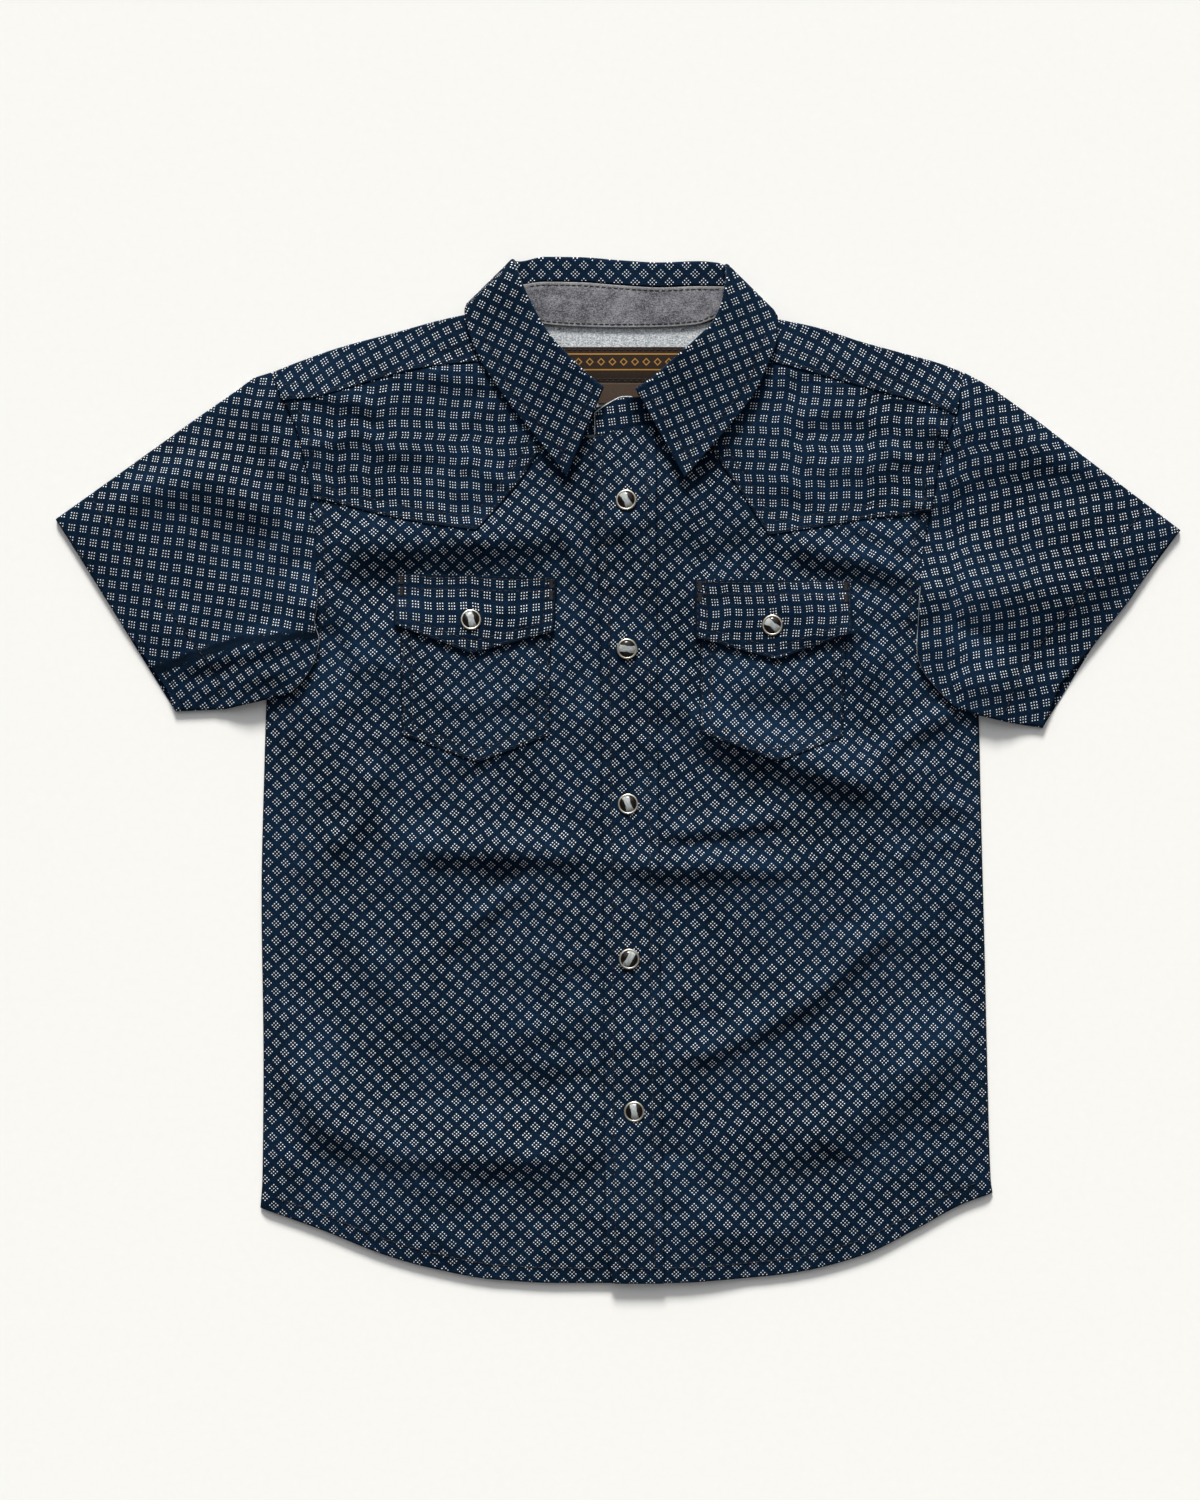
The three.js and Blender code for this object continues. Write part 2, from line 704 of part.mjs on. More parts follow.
function addMesh(name, geometry, color, { roughness = 0.85, metalness = 0 } = {}) {
  geometry.computeVertexNormals();
  const material = new THREE.MeshStandardMaterial({ color, roughness, metalness });
  const mesh = new THREE.Mesh(geometry, material);
  mesh.name = name;
  shirt.add(mesh);
  return mesh;
}

function toManifold(geometry) {
  const bare = new THREE.BufferGeometry();
  bare.setAttribute('position', geometry.attributes.position);
  bare.setIndex(geometry.index);
  const merged = mergeVertices(bare, WELD);
  return new wasm.Manifold(new wasm.Mesh({
    numProp: 3,
    vertProperties: new Float32Array(merged.attributes.position.array),
    triVerts: new Uint32Array(merged.index.array),
  }));
}

function fromManifold(solid) {
  const mesh = solid.getMesh();
  const geometry = new THREE.BufferGeometry();
  geometry.setAttribute('position', new THREE.Float32BufferAttribute(mesh.vertProperties, 3));
  geometry.setIndex([...mesh.triVerts]);
  return geometry;
}

// Rows of one body edge: heights from the hem's corner through the armhole to its last row
function edgeRows(side, last) {
  const start = BODY_EDGE[side][0].y;
  const rows = [];
  for (let i = 0; i <= SIDE_ROWS; i += 1) {
    rows.push(mix(start, UNDERARM[side], i / SIDE_ROWS));
  }
  rows.push(...ARM_ROWS[side].filter((y) => y <= last));
  return rows;
}

function rowShares(side, last) {
  const rows = edgeRows(side, last);
  return rows.map((y) => (y - rows[0]) / (rows[rows.length - 1] - rows[0]));
}

// A front as a grid of plan points: rows from hem to top, columns from the side to the lap
function frontPlan(side) {
  const top = FRONT_TOP[side];
  const edge = edgeX[side];
  const shares = rowShares(side, top[0].y);
  const lapShares = rowShares('right', FRONT_TOP.right[0].y);
  const lapEdge = (y) => (side === 'right' ? placketX(y) : UNDER_EDGE_X);
  const columns = top.map((start) => {
    const out = edge(start.y);
    const t = (start.x - out) / (lapEdge(start.y) - out);
    const hemCorner = BODY_EDGE[side][0];
    const foot = hemY(mix(hemCorner.x, lapEdge(hemY(0)), t));
    return { top: start.y, bottom: foot, x: (y) => mix(edge(y), lapEdge(y), t) };
  });
  const lap = LAP_TOP.map((point, i) => {
    const t = i / LAP_COLUMNS;
    const foot = hemY(mix(placketX(hemY(0)), UNDER_EDGE_X, t));
    return { top: point.y, bottom: foot, x: (y) => mix(placketX(y), UNDER_EDGE_X, t) };
  });
  const open = columns.length;
  const ordered = side === 'right' ? [...columns, ...lap] : [...lap, ...columns.reverse()];
  // Both fronts have the same grid on the lap, so that they lie on each other there
  return shares.map((share, i) => ordered.map((column, j) => {
    const fromLap = side === 'right' ? open - j : j - LAP_COLUMNS;
    const own = clamp01(fromLap / open);
    const y = mix(column.bottom, column.top, mix(lapShares[i], share, own));
    return { x: column.x(y), y };
  }));
}

function raised(plan, height) {
  return plan.map((row) => row.map((p) => ({ x: p.x, y: p.y, z: height(p.x, p.y) })));
}

function buildFront(side) {
  const plan = frontPlan(side);
  const extra = side === 'left' ? lapLift : () => 0;
  const bottom = raised(plan, (x, y) => frontBottom(x, y) + extra(x));
  const top = bottom.map((row) => row.map((p) => ({ ...p, z: p.z + WALL })));
  addMesh(`front_${side}`, closedWall(top, bottom), NAVY);
  return top;
}

function prism(outline) {
  const shape = new THREE.Shape(outline.map((p) => new THREE.Vector2(p.x, p.y)));
  const geometry = new THREE.ExtrudeGeometry(shape, { depth: 2 * ABOVE, bevelEnabled: false });
  geometry.translate(0, 0, -ABOVE);
  geometry.deleteAttribute('normal');
  geometry.deleteAttribute('uv');
  return toManifold(mergeVertices(geometry, WELD));
}

// The cells of a panel's top that an outline covers, as a slab lying on it, cut to the outline
function overlay(name, panelTop, outline, color, extra = () => 0) {
  const xs = outline.map((p) => p.x);
  const ys = outline.map((p) => p.y);
  const box = { left: Math.min(...xs), right: Math.max(...xs), low: Math.min(...ys), high: Math.max(...ys) };
  const covers = (i, j) => {
    const corners = [panelTop[i][j], panelTop[i][j + 1], panelTop[i + 1][j], panelTop[i + 1][j + 1]];
    const left = Math.min(...corners.map((p) => p.x));
    const right = Math.max(...corners.map((p) => p.x));
    const low = Math.min(...corners.map((p) => p.y));
    const high = Math.max(...corners.map((p) => p.y));
    return right > box.left && left < box.right && high > box.low && low < box.high;
  };
  const bottom = panelTop.map((row) => row.map((p) => ({ ...p, z: p.z + SEAM + extra(p.x, p.y) })));
  const top = bottom.map((row) => row.map((p) => ({ ...p, z: p.z + WALL })));
  const slab = closedWall(top, bottom, { present: covers });
  const cut = toManifold(slab).intersect(prism(outline));
  const geometry = fromManifold(cut);
  addMesh(name, geometry, color);
}

function placketOutline() {
  const free = PLACKET_EDGE.map((row) => ({ x: row.x - BEYOND, y: row.y }));
  free[0].y -= BEYOND;
  free[free.length - 1].y += 2 * BEYOND;
  return [...PLACKET_SEAM, ...free.reverse()];
}

// The back, flat on the surface, from the hem up to its yoke's seam
function buildBack() {
  const shares = rowShares('right', BACK_SEAM[0].y);
  const plan = shares.map((share) => {
    const row = [];
    for (let j = 0; j <= BACK_COLUMNS; j += 1) {
      const t = j / BACK_COLUMNS;
      const hemX = mix(HEM[0].x, HEM[HEM.length - 1].x, t);
      const seamX = mix(BACK_SEAM[0].x, BACK_SEAM[BACK_SEAM.length - 1].x, t);
      const y = mix(hemY(hemX), backSeamY(seamX) - SEAM, share);
      row.push({ x: mix(edgeX.right(y), edgeX.left(y), t), y });
    }
    return row;
  });
  const bottom = raised(plan, backBottom);
  const top = bottom.map((row) => row.map((p) => ({ ...p, z: p.z + WALL })));
  addMesh('back', closedWall(top, bottom), NAVY);
}

// Columns of the back yoke: shoulder columns wrap to the front, neck columns end at the neckline
function yokeColumns() {
  const wrapping = (side) => {
    const seam = FRONT_TOP[side].slice(0, SHOULDER_COLUMNS);
    const armX = SHOULDER[side][0].x;
    const neckX = seam[SHOULDER_COLUMNS - 1].x;
    return seam.map((row) => {
      const out = (row.x - neckX) / (seam[0].x - neckX);
      const x = mix(neckX, armX, out);
      return { x, top: shoulderY[side](x), side, seamX: row.x, seamY: row.y };
    });
  };
  const right = wrapping('right');
  const left = wrapping('left').reverse();
  const neck = BACK_NECK.slice(1, -1).map((row) => ({ x: row.x, top: row.y, side: null }));
  return [...right, ...neck, ...left];
}

function buildBackYoke() {
  const columns = yokeColumns();
  const first = columns[0];
  const last = columns[columns.length - 1];
  const outer = [];
  const inner = [];
  // x of a column at height y: the outer columns follow the armholes
  const place = (column, y) => {
    const share = (column.x - first.x) / (last.x - first.x);
    const edges = mix(edgeX.right(y), edgeX.left(y), share);
    const tops = mix(first.x, last.x, share);
    return column.x + edges - tops;
  };
  for (let i = 0; i <= YOKE_ROWS; i += 1) {
    const low = [];
    const high = [];
    for (const column of columns) {
      const end = column.side ? column.top - FOLD_INSET : column.top;
      const y = mix(backSeamY(column.x) + SEAM, end, i / YOKE_ROWS);
      const x = place(column, y);
      const z = backBottom(x, y);
      low.push({ x, y, z });
      high.push({ x, y, z: z + WALL });
    }
    outer.push(low);
    inner.push(high);
  }
  // The fold itself, then the strip that reaches the forward seam
  const foldOuter = [];
  const foldInner = [];
  for (const column of columns) {
    const y = column.top;
    const x = column.x;
    const z = (backBottom(x, y) + frontBottom(x, y - FOLD_INSET) + WALL) / 2;
    foldOuter.push({ x, y, z });
    foldInner.push({ x, y: y - WALL, z });
  }
  outer.push(foldOuter);
  inner.push(foldInner);
  for (const share of HALVES) {
    const high = [];
    const low = [];
    for (const column of columns) {
      const x = mix(column.x, column.seamX ?? column.x, share);
      const y = mix(column.top - FOLD_INSET, (column.seamY ?? column.top) + SEAM, share);
      const z = frontBottom(x, y);
      high.push({ x, y, z: z + WALL });
      low.push({ x, y, z });
    }
    outer.push(high);
    inner.push(low);
  }
  const isNeck = (j) => columns[j].side !== columns[j + 1].side || columns[j].side === null;
  const present = (i, j) => i < YOKE_ROWS || !isNeck(j);
  addMesh('back_yoke', closedWall(outer, inner, { present }), NAVY);
  return inner.slice(0, YOKE_ROWS + 1);
}

// Signed distance out of the body's outline below the armhole, for the sleeve that lies on it
function outsideBody(side, x, y) {
  const rows = BODY_EDGE[side];
  let distance = Infinity;
  for (let i = 1; i < rows.length; i += 1) {
    const a = rows[i - 1];
    const b = rows[i];
    distance = Math.min(distance, segmentDistance(x, y, a.x, a.y, b.x, b.y));
  }
  const inward = side === 'right' ? x - edgeX.right(y) : edgeX.left(y) - x;
  return inward > 0 ? -distance : distance;
}

function sleeveBottom(side, x, y) {
  const out = outsideBody(side, x, y);
  const near = smooth((SLEEVE_LIFT.far - out) / (SLEEVE_LIFT.far - SLEEVE_LIFT.near));
  const low = smooth((SLEEVE_LIFT.yNone - y) / (SLEEVE_LIFT.yNone - SLEEVE_LIFT.yFull));
  return near * low * (frontBottom(x, y) + LAYER + SLEEVE_LIFT.slack);
}

// A flattened tube: rings from the armhole to the open cuff, folded at shoulder and underarm
function buildSleeve(side) {
  const sign = side === 'right' ? -1 : 1;
  const data = SLEEVE[side];
  const gap = sign * ARM_SEAM;
  const heights = ARM_ROWS[side].filter((y) => y > ARM_LOW).reverse();
  const armhole = [
    { x: data.shoulder[0].x, y: data.shoulder[0].y - FOLD_INSET },
    ...heights.map((y) => ({ x: edgeX[side](y) + gap, y })),
    ...data.overBody,
  ];
  armhole[armhole.length - 1] = {
    x: data.overBody[data.overBody.length - 1].x,
    y: data.overBody[data.overBody.length - 1].y + FOLD_INSET,
  };
  const count = armhole.length - 1;
  const armAt = alongPath(armhole);
  const lengths = [0];
  armhole.slice(1).forEach((p, i) => {
    lengths.push(lengths[i] + Math.hypot(p.x - armhole[i].x, p.y - armhole[i].y));
  });
  const shares = lengths.map((length) => length / lengths[count]);
  const shoulderAt = alongPath(data.shoulder);
  const underAt = alongPath(data.under);
  const cuffs = { top: alongPath(data.cuffTop), back: alongPath(data.cuffBack) };
  const plan = (layer, s, u) => {
    const fold = shoulderAt(s);
    const under = underAt(s);
    const arm = armAt(u);
    const cuff = cuffs[layer](u);
    const corner = (key) => (
      (1 - s) * ((1 - u) * data.shoulder[0][key] + u * data.under[0][key])
      + s * ((1 - u) * data.cuffBack[0][key] + u * data.under[data.under.length - 1][key])
    );
    const blend = (key) => (
      (1 - s) * arm[key] + s * cuff[key] + (1 - u) * fold[key] + u * under[key] - corner(key)
    );
    return { x: blend('x'), y: blend('y') };
  };
  const outer = [];
  const inner = [];
  for (let k = 0; k <= SLEEVE_STATIONS; k += 1) {
    const s = k / SLEEVE_STATIONS;
    const outerRing = [];
    const innerRing = [];
    const ringPoint = (layer, i) => {
      const p = k === 0 ? armhole[i] : plan(layer, s, shares[i]);
      const next = i === 0 ? 1 : i - 1;
      if (i > 0 && i < count) return p;
      if (k === 0) return p;
      const q = plan(layer, s, shares[next]);
      const length = Math.hypot(q.x - p.x, q.y - p.y);
      const inset = FOLD_INSET / length;
      return { x: mix(p.x, q.x, inset), y: mix(p.y, q.y, inset) };
    };
    const upperBottom = (p) => {
      const lower = sleeveBottom(side, p.x, p.y);
      return Math.max(frontBottom(p.x, p.y), lower + LAYER + (lower > LEVEL ? SEAM : 0));
    };
    const tip = (atShoulder) => {
      const fold = atShoulder ? shoulderAt(s) : underAt(s);
      const near = ringPoint('top', atShoulder ? 0 : count);
      const z = (upperBottom(near) + WALL + sleeveBottom(side, near.x, near.y)) / 2;
      outerRing.push({ ...fold, z });
      const inset = WALL / FOLD_INSET;
      innerRing.push({ x: mix(fold.x, near.x, inset), y: mix(fold.y, near.y, inset), z });
    };
    tip(true);
    for (let i = 0; i <= count; i += 1) {
      const p = ringPoint('top', i);
      const z = upperBottom(p);
      outerRing.push({ ...p, z: z + WALL });
      innerRing.push({ ...p, z });
    }
    tip(false);
    for (let i = count; i >= 0; i -= 1) {
      const p = ringPoint('back', i);
      const z = sleeveBottom(side, p.x, p.y);
      outerRing.push({ ...p, z });
      innerRing.push({ ...p, z: z + WALL });
    }
    outer.push(outerRing);
    inner.push(innerRing);
  }
  addMesh(`sleeve_${side}`, closedWall(outer, inner, { wrap: true }), NAVY);
}

// Height of the middle of the cloth that the leaf must clear, on each side of the lap
function stackTop(x, y, isLeft) {
  const lap = isLeft ? lapLift(x) : 0;
  return frontBottom(x, y) + lap + WALL + LAYER;
}

function wallFromMiddle(grid, thickness) {
  const rows = grid.length;
  const columns = grid[0].length;
  const vector = (p) => new THREE.Vector3(p.x, p.y, p.z);
  const shifted = (distance) => grid.map((row, i) => row.map((p, j) => {
    const before = vector(grid[Math.max(0, i - 1)][j]);
    const after = vector(grid[Math.min(rows - 1, i + 1)][j]);
    const low = vector(grid[i][Math.max(0, j - 1)]);
    const high = vector(grid[i][Math.min(columns - 1, j + 1)]);
    const normal = after.sub(before).cross(high.sub(low)).normalize();
    return vector(p).addScaledVector(normal, distance);
  }));
  return closedWall(shifted(thickness / 2), shifted(-thickness / 2));
}

// One section of the collar: unit vectors and heights shared by leaf, strip and band
function collarSection(row, index) {
  const isLeft = index > COLLAR.length / 2;
  const turn = THREE.MathUtils.degToRad(row.turn);
  const [rollX, rollY] = row.roll;
  const [endX, endY] = row.edge;
  const [neckX, neckY] = row.neck;
  const leafLength = Math.hypot(endX - rollX, endY - rollY);
  const leaf = { x: (endX - rollX) / leafLength, y: (endY - rollY) / leafLength };
  const bandLength = Math.hypot(neckX - rollX, neckY - rollY);
  const band = { x: (neckX - rollX) / bandLength, y: (neckY - rollY) / bandLength };
  // Horizontal direction out of the neck, across the leaf
  const across = isLeft ? { x: -leaf.y, y: leaf.x } : { x: leaf.y, y: -leaf.x };
  const normal = {
    x: Math.sin(turn) * across.x,
    y: Math.sin(turn) * across.y,
    z: Math.cos(turn),
  };
  const lap = isLeft ? lapLift(rollX) : 0;
  const level = row.level ?? frontBottom(rollX, rollY) + lap + WALL + SEAM / 2 + ROLL_RISE;
  const lapAtNeck = isLeft ? lapLift(neckX) : 0;
  const neckLevel = row.level === undefined
    ? frontBottom(neckX, neckY) + lapAtNeck + WALL / 2
    : row.seam ?? row.level + HALF_LEAF;
  return { row, isLeft, leaf, band, leafLength, normal, level, neckLevel };
}

function buildCollar() {
  const sections = COLLAR.map(collarSection);
  const grid = sections.map((section) => {
    const { row, isLeft, leaf, band, normal, level, leafLength } = section;
    const [rollX, rollY] = row.roll;
    const points = [];
    for (let i = LEAF_COLUMNS; i >= 0; i -= 1) {
      const share = i / LEAF_COLUMNS;
      const x = rollX + leaf.x * leafLength * share;
      const y = rollY + leaf.y * leafLength * share;
      let z = level + HALF_LEAF * normal.z;
      if (row.turn < TURN.flat) {
        const rest = stackTop(x, y, isLeft) + LEAF_CLEAR + WALL / 2;
        const crown = LEAF_CROWN * Math.sin(Math.PI * share);
        z = Math.max(z, rest + row.lift * share * share) + crown;
      } else if (row.turn < TURN.upright) {
        z = mix(z, Math.max(z, stackTop(x, y, isLeft) + LEAF_CLEAR), share);
      }
      points.push({ x: x + normal.x * HALF_LEAF, y: y + normal.y * HALF_LEAF, z });
    }
    const rollZ = points[points.length - 1].z - HALF_LEAF * normal.z;
    points.push({ x: rollX - leaf.x * HALF_LEAF, y: rollY - leaf.y * HALF_LEAF, z: rollZ });
    const stripZ = rollZ - HALF_LEAF * normal.z;
    const sideX = -normal.x * HALF_LEAF;
    const sideY = -normal.y * HALF_LEAF;
    points.push({ x: rollX + sideX, y: rollY + sideY, z: stripZ });
    points.push({
      x: rollX + band.x * row.strip + sideX,
      y: rollY + band.y * row.strip + sideY,
      z: stripZ,
    });
    section.stripEnd = points[points.length - 1];
    return points;
  });
  addMesh('collar_leaf', wallFromMiddle(grid, WALL), NAVY);
  return sections;
}

function buildBand(sections) {
  const grid = sections.map((section) => {
    const { row, band, normal, neckLevel, stripEnd } = section;
    const start = {
      x: stripEnd.x + band.x * BAND_GAP,
      y: stripEnd.y + band.y * BAND_GAP,
      z: stripEnd.z - BAND_DROP * Math.max(0, Math.sin(2 * THREE.MathUtils.degToRad(row.turn))),
    };
    const end = {
      x: row.neck[0] - (normal.x * HALF_LEAF) / 2,
      y: row.neck[1] - (normal.y * HALF_LEAF) / 2,
      z: neckLevel,
    };
    return HALVES.map((t) => ({
      x: mix(start.x, end.x, t),
      y: mix(start.y, end.y, t),
      z: mix(start.z, end.z, t),
    }));
  });
  for (const row of BAND_END) {
    const height = (p) => frontBottom(p[0], p[1]) + LAYER + WALL / 2;
    grid.push(HALVES.map((t) => ({
      x: mix(row.top[0], row.neck[0], t),
      y: mix(row.top[1], row.neck[1], t),
      z: mix(height(row.top) + ROLL_RISE / 2, height(row.neck), t),
    })));
  }
  addMesh('collar_band', wallFromMiddle(grid, WALL), NAVY);
}

// The grey inner side of the band, where it shows across the back of the neck
function buildFacing() {
  const back = COLLAR.filter((row) => row.turn > TURN.under);
  const rollY = through(back.map((row) => ({ x: row.roll[0], y: row.roll[1] - row.strip })), 'x', 'y');
  const neckY = through(back.map((row) => ({ x: row.neck[0], y: row.neck[1] })), 'x', 'y');
  const plan = HALVES.map((share) => {
    const row = [];
    for (let j = 0; j <= FACING.columns; j += 1) {
      const x = mix(FACING.from, FACING.to, j / FACING.columns);
      row.push({ x, y: mix(neckY(x) + FACING.lower, rollY(x) - FACING.upper, share), z: 2 * LAYER });
    }
    return row;
  });
  const top = plan.map((row) => row.map((p) => ({ ...p, z: p.z + WALL })));
  addMesh('band_facing', closedWall(top, plan), GREY);
}

function rectangle({ left, right, bottom, top }) {
  return [
    { x: left, y: bottom },
    { x: right, y: bottom },
    { x: right, y: top },
    { x: left, y: top },
  ];
}

// A snap seated square on the cloth below it: metal ring and domed cap
function buildSnap(name, centre, carrier) {
  const down = new THREE.Vector3(0, 0, -1);
  const caster = new THREE.Raycaster();
  const surface = (x, y) => {
    caster.set(new THREE.Vector3(x, y, ABOVE), down);
    return caster.intersectObject(carrier)[0].point.z;
  };
  const r = SNAP.outer;
  const east = surface(centre.x + r, centre.y);
  const west = surface(centre.x - r, centre.y);
  const north = surface(centre.x, centre.y + r);
  const south = surface(centre.x, centre.y - r);
  const normal = new THREE.Vector3((west - east) / (2 * r), (south - north) / (2 * r), 1).normalize();
  // Height of the seat plane that clears the cloth all round
  let seat = -Infinity;
  for (let i = 0; i < SNAP.segments; i += 1) {
    for (const radius of [0, r / 2, r]) {
      const angle = (2 * Math.PI * i) / SNAP.segments;
      const dx = radius * Math.cos(angle);
      const dy = radius * Math.sin(angle);
      const onPlane = -(normal.x * dx + normal.y * dy) / normal.z;
      seat = Math.max(seat, surface(centre.x + dx, centre.y + dy) - onPlane);
    }
  }
  const ringProfile = [
    [SNAP.inner, 0],
    [SNAP.outer - SNAP.foot, 0],
    [SNAP.outer, SNAP.chamfer],
    [SNAP.outer - SNAP.chamfer, SNAP.height],
    [SNAP.inner, SNAP.height - SNAP.foot],
    [SNAP.inner, 0],
  ];
  const capProfile = [
    [0, 0],
    [SNAP.cap, 0],
    [SNAP.cap, SNAP.shoulder],
    [SNAP.crownRadius, SNAP.crownHeight],
    [0, SNAP.dome],
  ];
  const lathe = (profile) => {
    const points = profile.map(([x, y]) => new THREE.Vector2(x, y));
    const geometry = new THREE.LatheGeometry(points, SNAP.segments);
    geometry.deleteAttribute('normal');
    geometry.deleteAttribute('uv');
    geometry.rotateX(Math.PI / 2);
    return facingOut(dropFlat(mergeVertices(geometry, WELD)));
  };
  const parts = [
    { suffix: 'ring', profile: ringProfile, color: METAL, look: { roughness: 0.25, metalness: 1 } },
    { suffix: 'cap', profile: capProfile, color: BLACK, look: { roughness: 0.12, metalness: 0 } },
  ];
  for (const part of parts) {
    const mesh = addMesh(`${name}_${part.suffix}`, lathe(part.profile), part.color, part.look);
    mesh.position.set(centre.x, centre.y, seat + SEAM);
    mesh.quaternion.setFromUnitVectors(new THREE.Vector3(0, 0, 1), normal);
  }
}

// Takes out the empty triangles that a lathe leaves on its axis
function dropFlat(geometry) {
  const order = geometry.index.array;
  const kept = [];
  for (let i = 0; i < order.length; i += 3) {
    const [a, b, c] = [order[i], order[i + 1], order[i + 2]];
    if (a !== b && b !== c && a !== c) kept.push(a, b, c);
  }
  geometry.setIndex(kept);
  return geometry;
}

function meshNamed(name) {
  return shirt.children.find((mesh) => mesh.name === name);
}

buildBack();
const yokeInside = buildBackYoke();
overlay('neck_label', yokeInside, rectangle(LABEL), BROWN);
overlay('size_tab', yokeInside, rectangle(SIZE_TAB), TAN);
const fronts = { right: buildFront('right'), left: buildFront('left') };
overlay('placket', fronts.left, placketOutline(), NAVY);
for (const side of ['right', 'left']) {
  overlay(`front_yoke_${side}`, fronts[side], FRONT_YOKE[side], NAVY);
  overlay(`pocket_${side}`, fronts[side], POCKET[side], NAVY);
  const flare = (x, y) => LAYER + FLAP_FLARE.rate * Math.max(0, FLAP_FLARE.from - y);
  overlay(`flap_${side}`, fronts[side], FLAP[side], NAVY, flare);
  buildSleeve(side);
}
const collar = buildCollar();
buildBand(collar);
buildFacing();
PLACKET_SNAPS.forEach((centre, i) => buildSnap(`snap_${i + 1}`, centre, meshNamed('placket')));
buildSnap('flap_snap_right', FLAP_SNAPS.right, meshNamed('flap_right'));
buildSnap('flap_snap_left', FLAP_SNAPS.left, meshNamed('flap_left'));

export default shirt;
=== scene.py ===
"""Looks of a child's western snap shirt that lies on its back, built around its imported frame.

Tables and functions work in millimetres, in the frame's own axes: +X is the wearer's left, +Y the
collar's side, +Z up. Meshes are made in metres.
"""

import math

import bpy
import numpy as np
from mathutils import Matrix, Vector
from mathutils.geometry import delaunay_2d_cdt


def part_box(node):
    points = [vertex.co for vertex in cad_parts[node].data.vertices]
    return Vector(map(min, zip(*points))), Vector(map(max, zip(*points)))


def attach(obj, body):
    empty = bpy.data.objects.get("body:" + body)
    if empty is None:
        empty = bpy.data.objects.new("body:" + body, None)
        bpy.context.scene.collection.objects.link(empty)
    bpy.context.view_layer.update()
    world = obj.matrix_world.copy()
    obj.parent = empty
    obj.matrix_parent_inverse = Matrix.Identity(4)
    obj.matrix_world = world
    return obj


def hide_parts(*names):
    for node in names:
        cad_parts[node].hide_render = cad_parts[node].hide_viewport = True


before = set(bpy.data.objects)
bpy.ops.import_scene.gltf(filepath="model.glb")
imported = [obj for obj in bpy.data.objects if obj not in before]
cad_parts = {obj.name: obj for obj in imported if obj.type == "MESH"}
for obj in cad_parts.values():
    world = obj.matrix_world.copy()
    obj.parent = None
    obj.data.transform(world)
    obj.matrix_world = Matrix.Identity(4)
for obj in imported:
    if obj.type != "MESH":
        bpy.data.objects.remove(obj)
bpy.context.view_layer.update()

MM = 0.001
RANDOM = np.random.default_rng(11)

# The camera: height above the cloth and the stretch of table that the picture takes in
PICTURE = {"x": -8.3, "y": 9.3, "tall": 690.0, "above": 1800.0, "cloth": 3.0}

# The solids' wall and seam, repeated from the part's source, and the real cloth
WALL = 1.1
SEAM = 0.3
LAYER = WALL + SEAM
CLOTH = 0.5
THICK = {
    "yoke": 0.6, "pocket": 0.65, "flap": 0.8, "placket": 0.75, "leaf": 1.0, "band": 0.9,
    "under_band": 0.6, "facing": 0.7, "label": 0.4,
}
ROUND = 0.45
GROOVE_DEPTH = 0.22

# How much deeper the folds are in cloth than the listed heights
FOLD_STRENGTH = 2.1

# Unevenness all over the cloth: heights and the scales that they have, and the number of crumples
UNEVEN = [(1.3, 46.0), (0.8, 19.0), (0.15, 8.0)]
CRUMPLES = 320

# Puckers beside the armhole: number, height, reach, towards the body or away from it
ARM_PUCKERS = [(17, 1.0, 17, 1), (15, 0.85, 15, -1)]
YOKE_ROWS = 5

# How the front stands off the back
PUFF = 2.3
PUFF_RAMP = 30.0
NECK_RISE = {"x": 1.0, "y": 178.0, "full": 45.0, "none": 110.0, "height": 1.5}
LEAF_LIFT = {"x": 1.0, "full": 78.0, "none": 112.0, "y_full": 192.0, "y_none": 158.0}
OVERLAP_FULL = 30.0
OVERLAP_NONE = 66.0
UNDER_EDGE_X = 14.7
FOLD_EDGE = 16.0

# Outlines, from the wearer's right to the left or from the hem up
HEM = [
    (-164.7, -201.4), (-136.6, -211.5), (-107.6, -223.0), (-86.5, -229.0), (-56.1, -234.5),
    (-26.7, -236.0), (21.6, -235.9), (65.3, -233.1), (83.7, -230.8), (113.2, -223.0),
    (136.6, -211.5), (157.8, -200.0), (172.5, -194.5),
]
BODY_EDGE = {
    "right": [
        (-164.7, -201.4), (-163.8, -188.5), (-163.3, -133.3), (-164.2, -59.7), (-162.8, 4.7),
        (-161.9, 32.3), (-161.0, 50.0), (-150.0, 56.0), (-142.0, 64.0), (-138.6, 74.0),
        (-138.9, 88.0), (-139.4, 106.0), (-140.6, 122.0), (-143.3, 138.0), (-147.4, 155.0),
        (-154.1, 171.2), (-159.2, 183.2),
    ],
    "left": [
        (172.5, -194.5), (171.6, -188.5), (170.2, -142.5), (168.8, -82.7), (167.0, -13.7),
        (166.1, 25.0), (165.0, 42.0), (154.0, 48.0), (144.0, 56.0), (138.4, 68.0), (139.3, 86.0),
        (140.8, 104.0), (144.2, 120.0), (147.0, 138.0), (150.6, 151.0), (155.5, 164.3),
        (158.7, 183.2),
    ],
}
UNDERARM = {"right": 50.0, "left": 42.0}
FRONT_TOP = {
    "right": [
        (-154.1, 171.2), (-140.0, 172.4), (-126.0, 176.2), (-112.0, 180.6), (-98.0, 184.4),
        (-82.0, 187.3), (-66.0, 188.7), (-51.5, 189.4), (-45.5, 181.5), (-38.0, 171.2),
        (-29.4, 162.8), (-20.8, 156.4),
    ],
    "left": [
        (155.5, 164.3), (142.0, 169.6), (128.0, 173.2), (113.0, 177.3), (98.0, 181.4),
        (84.0, 185.3), (70.0, 188.6), (55.0, 190.4), (48.0, 182.5), (41.5, 174.0), (32.8, 166.4),
        (23.5, 162.0),
    ],
}
SHOULDER_ROWS = 8
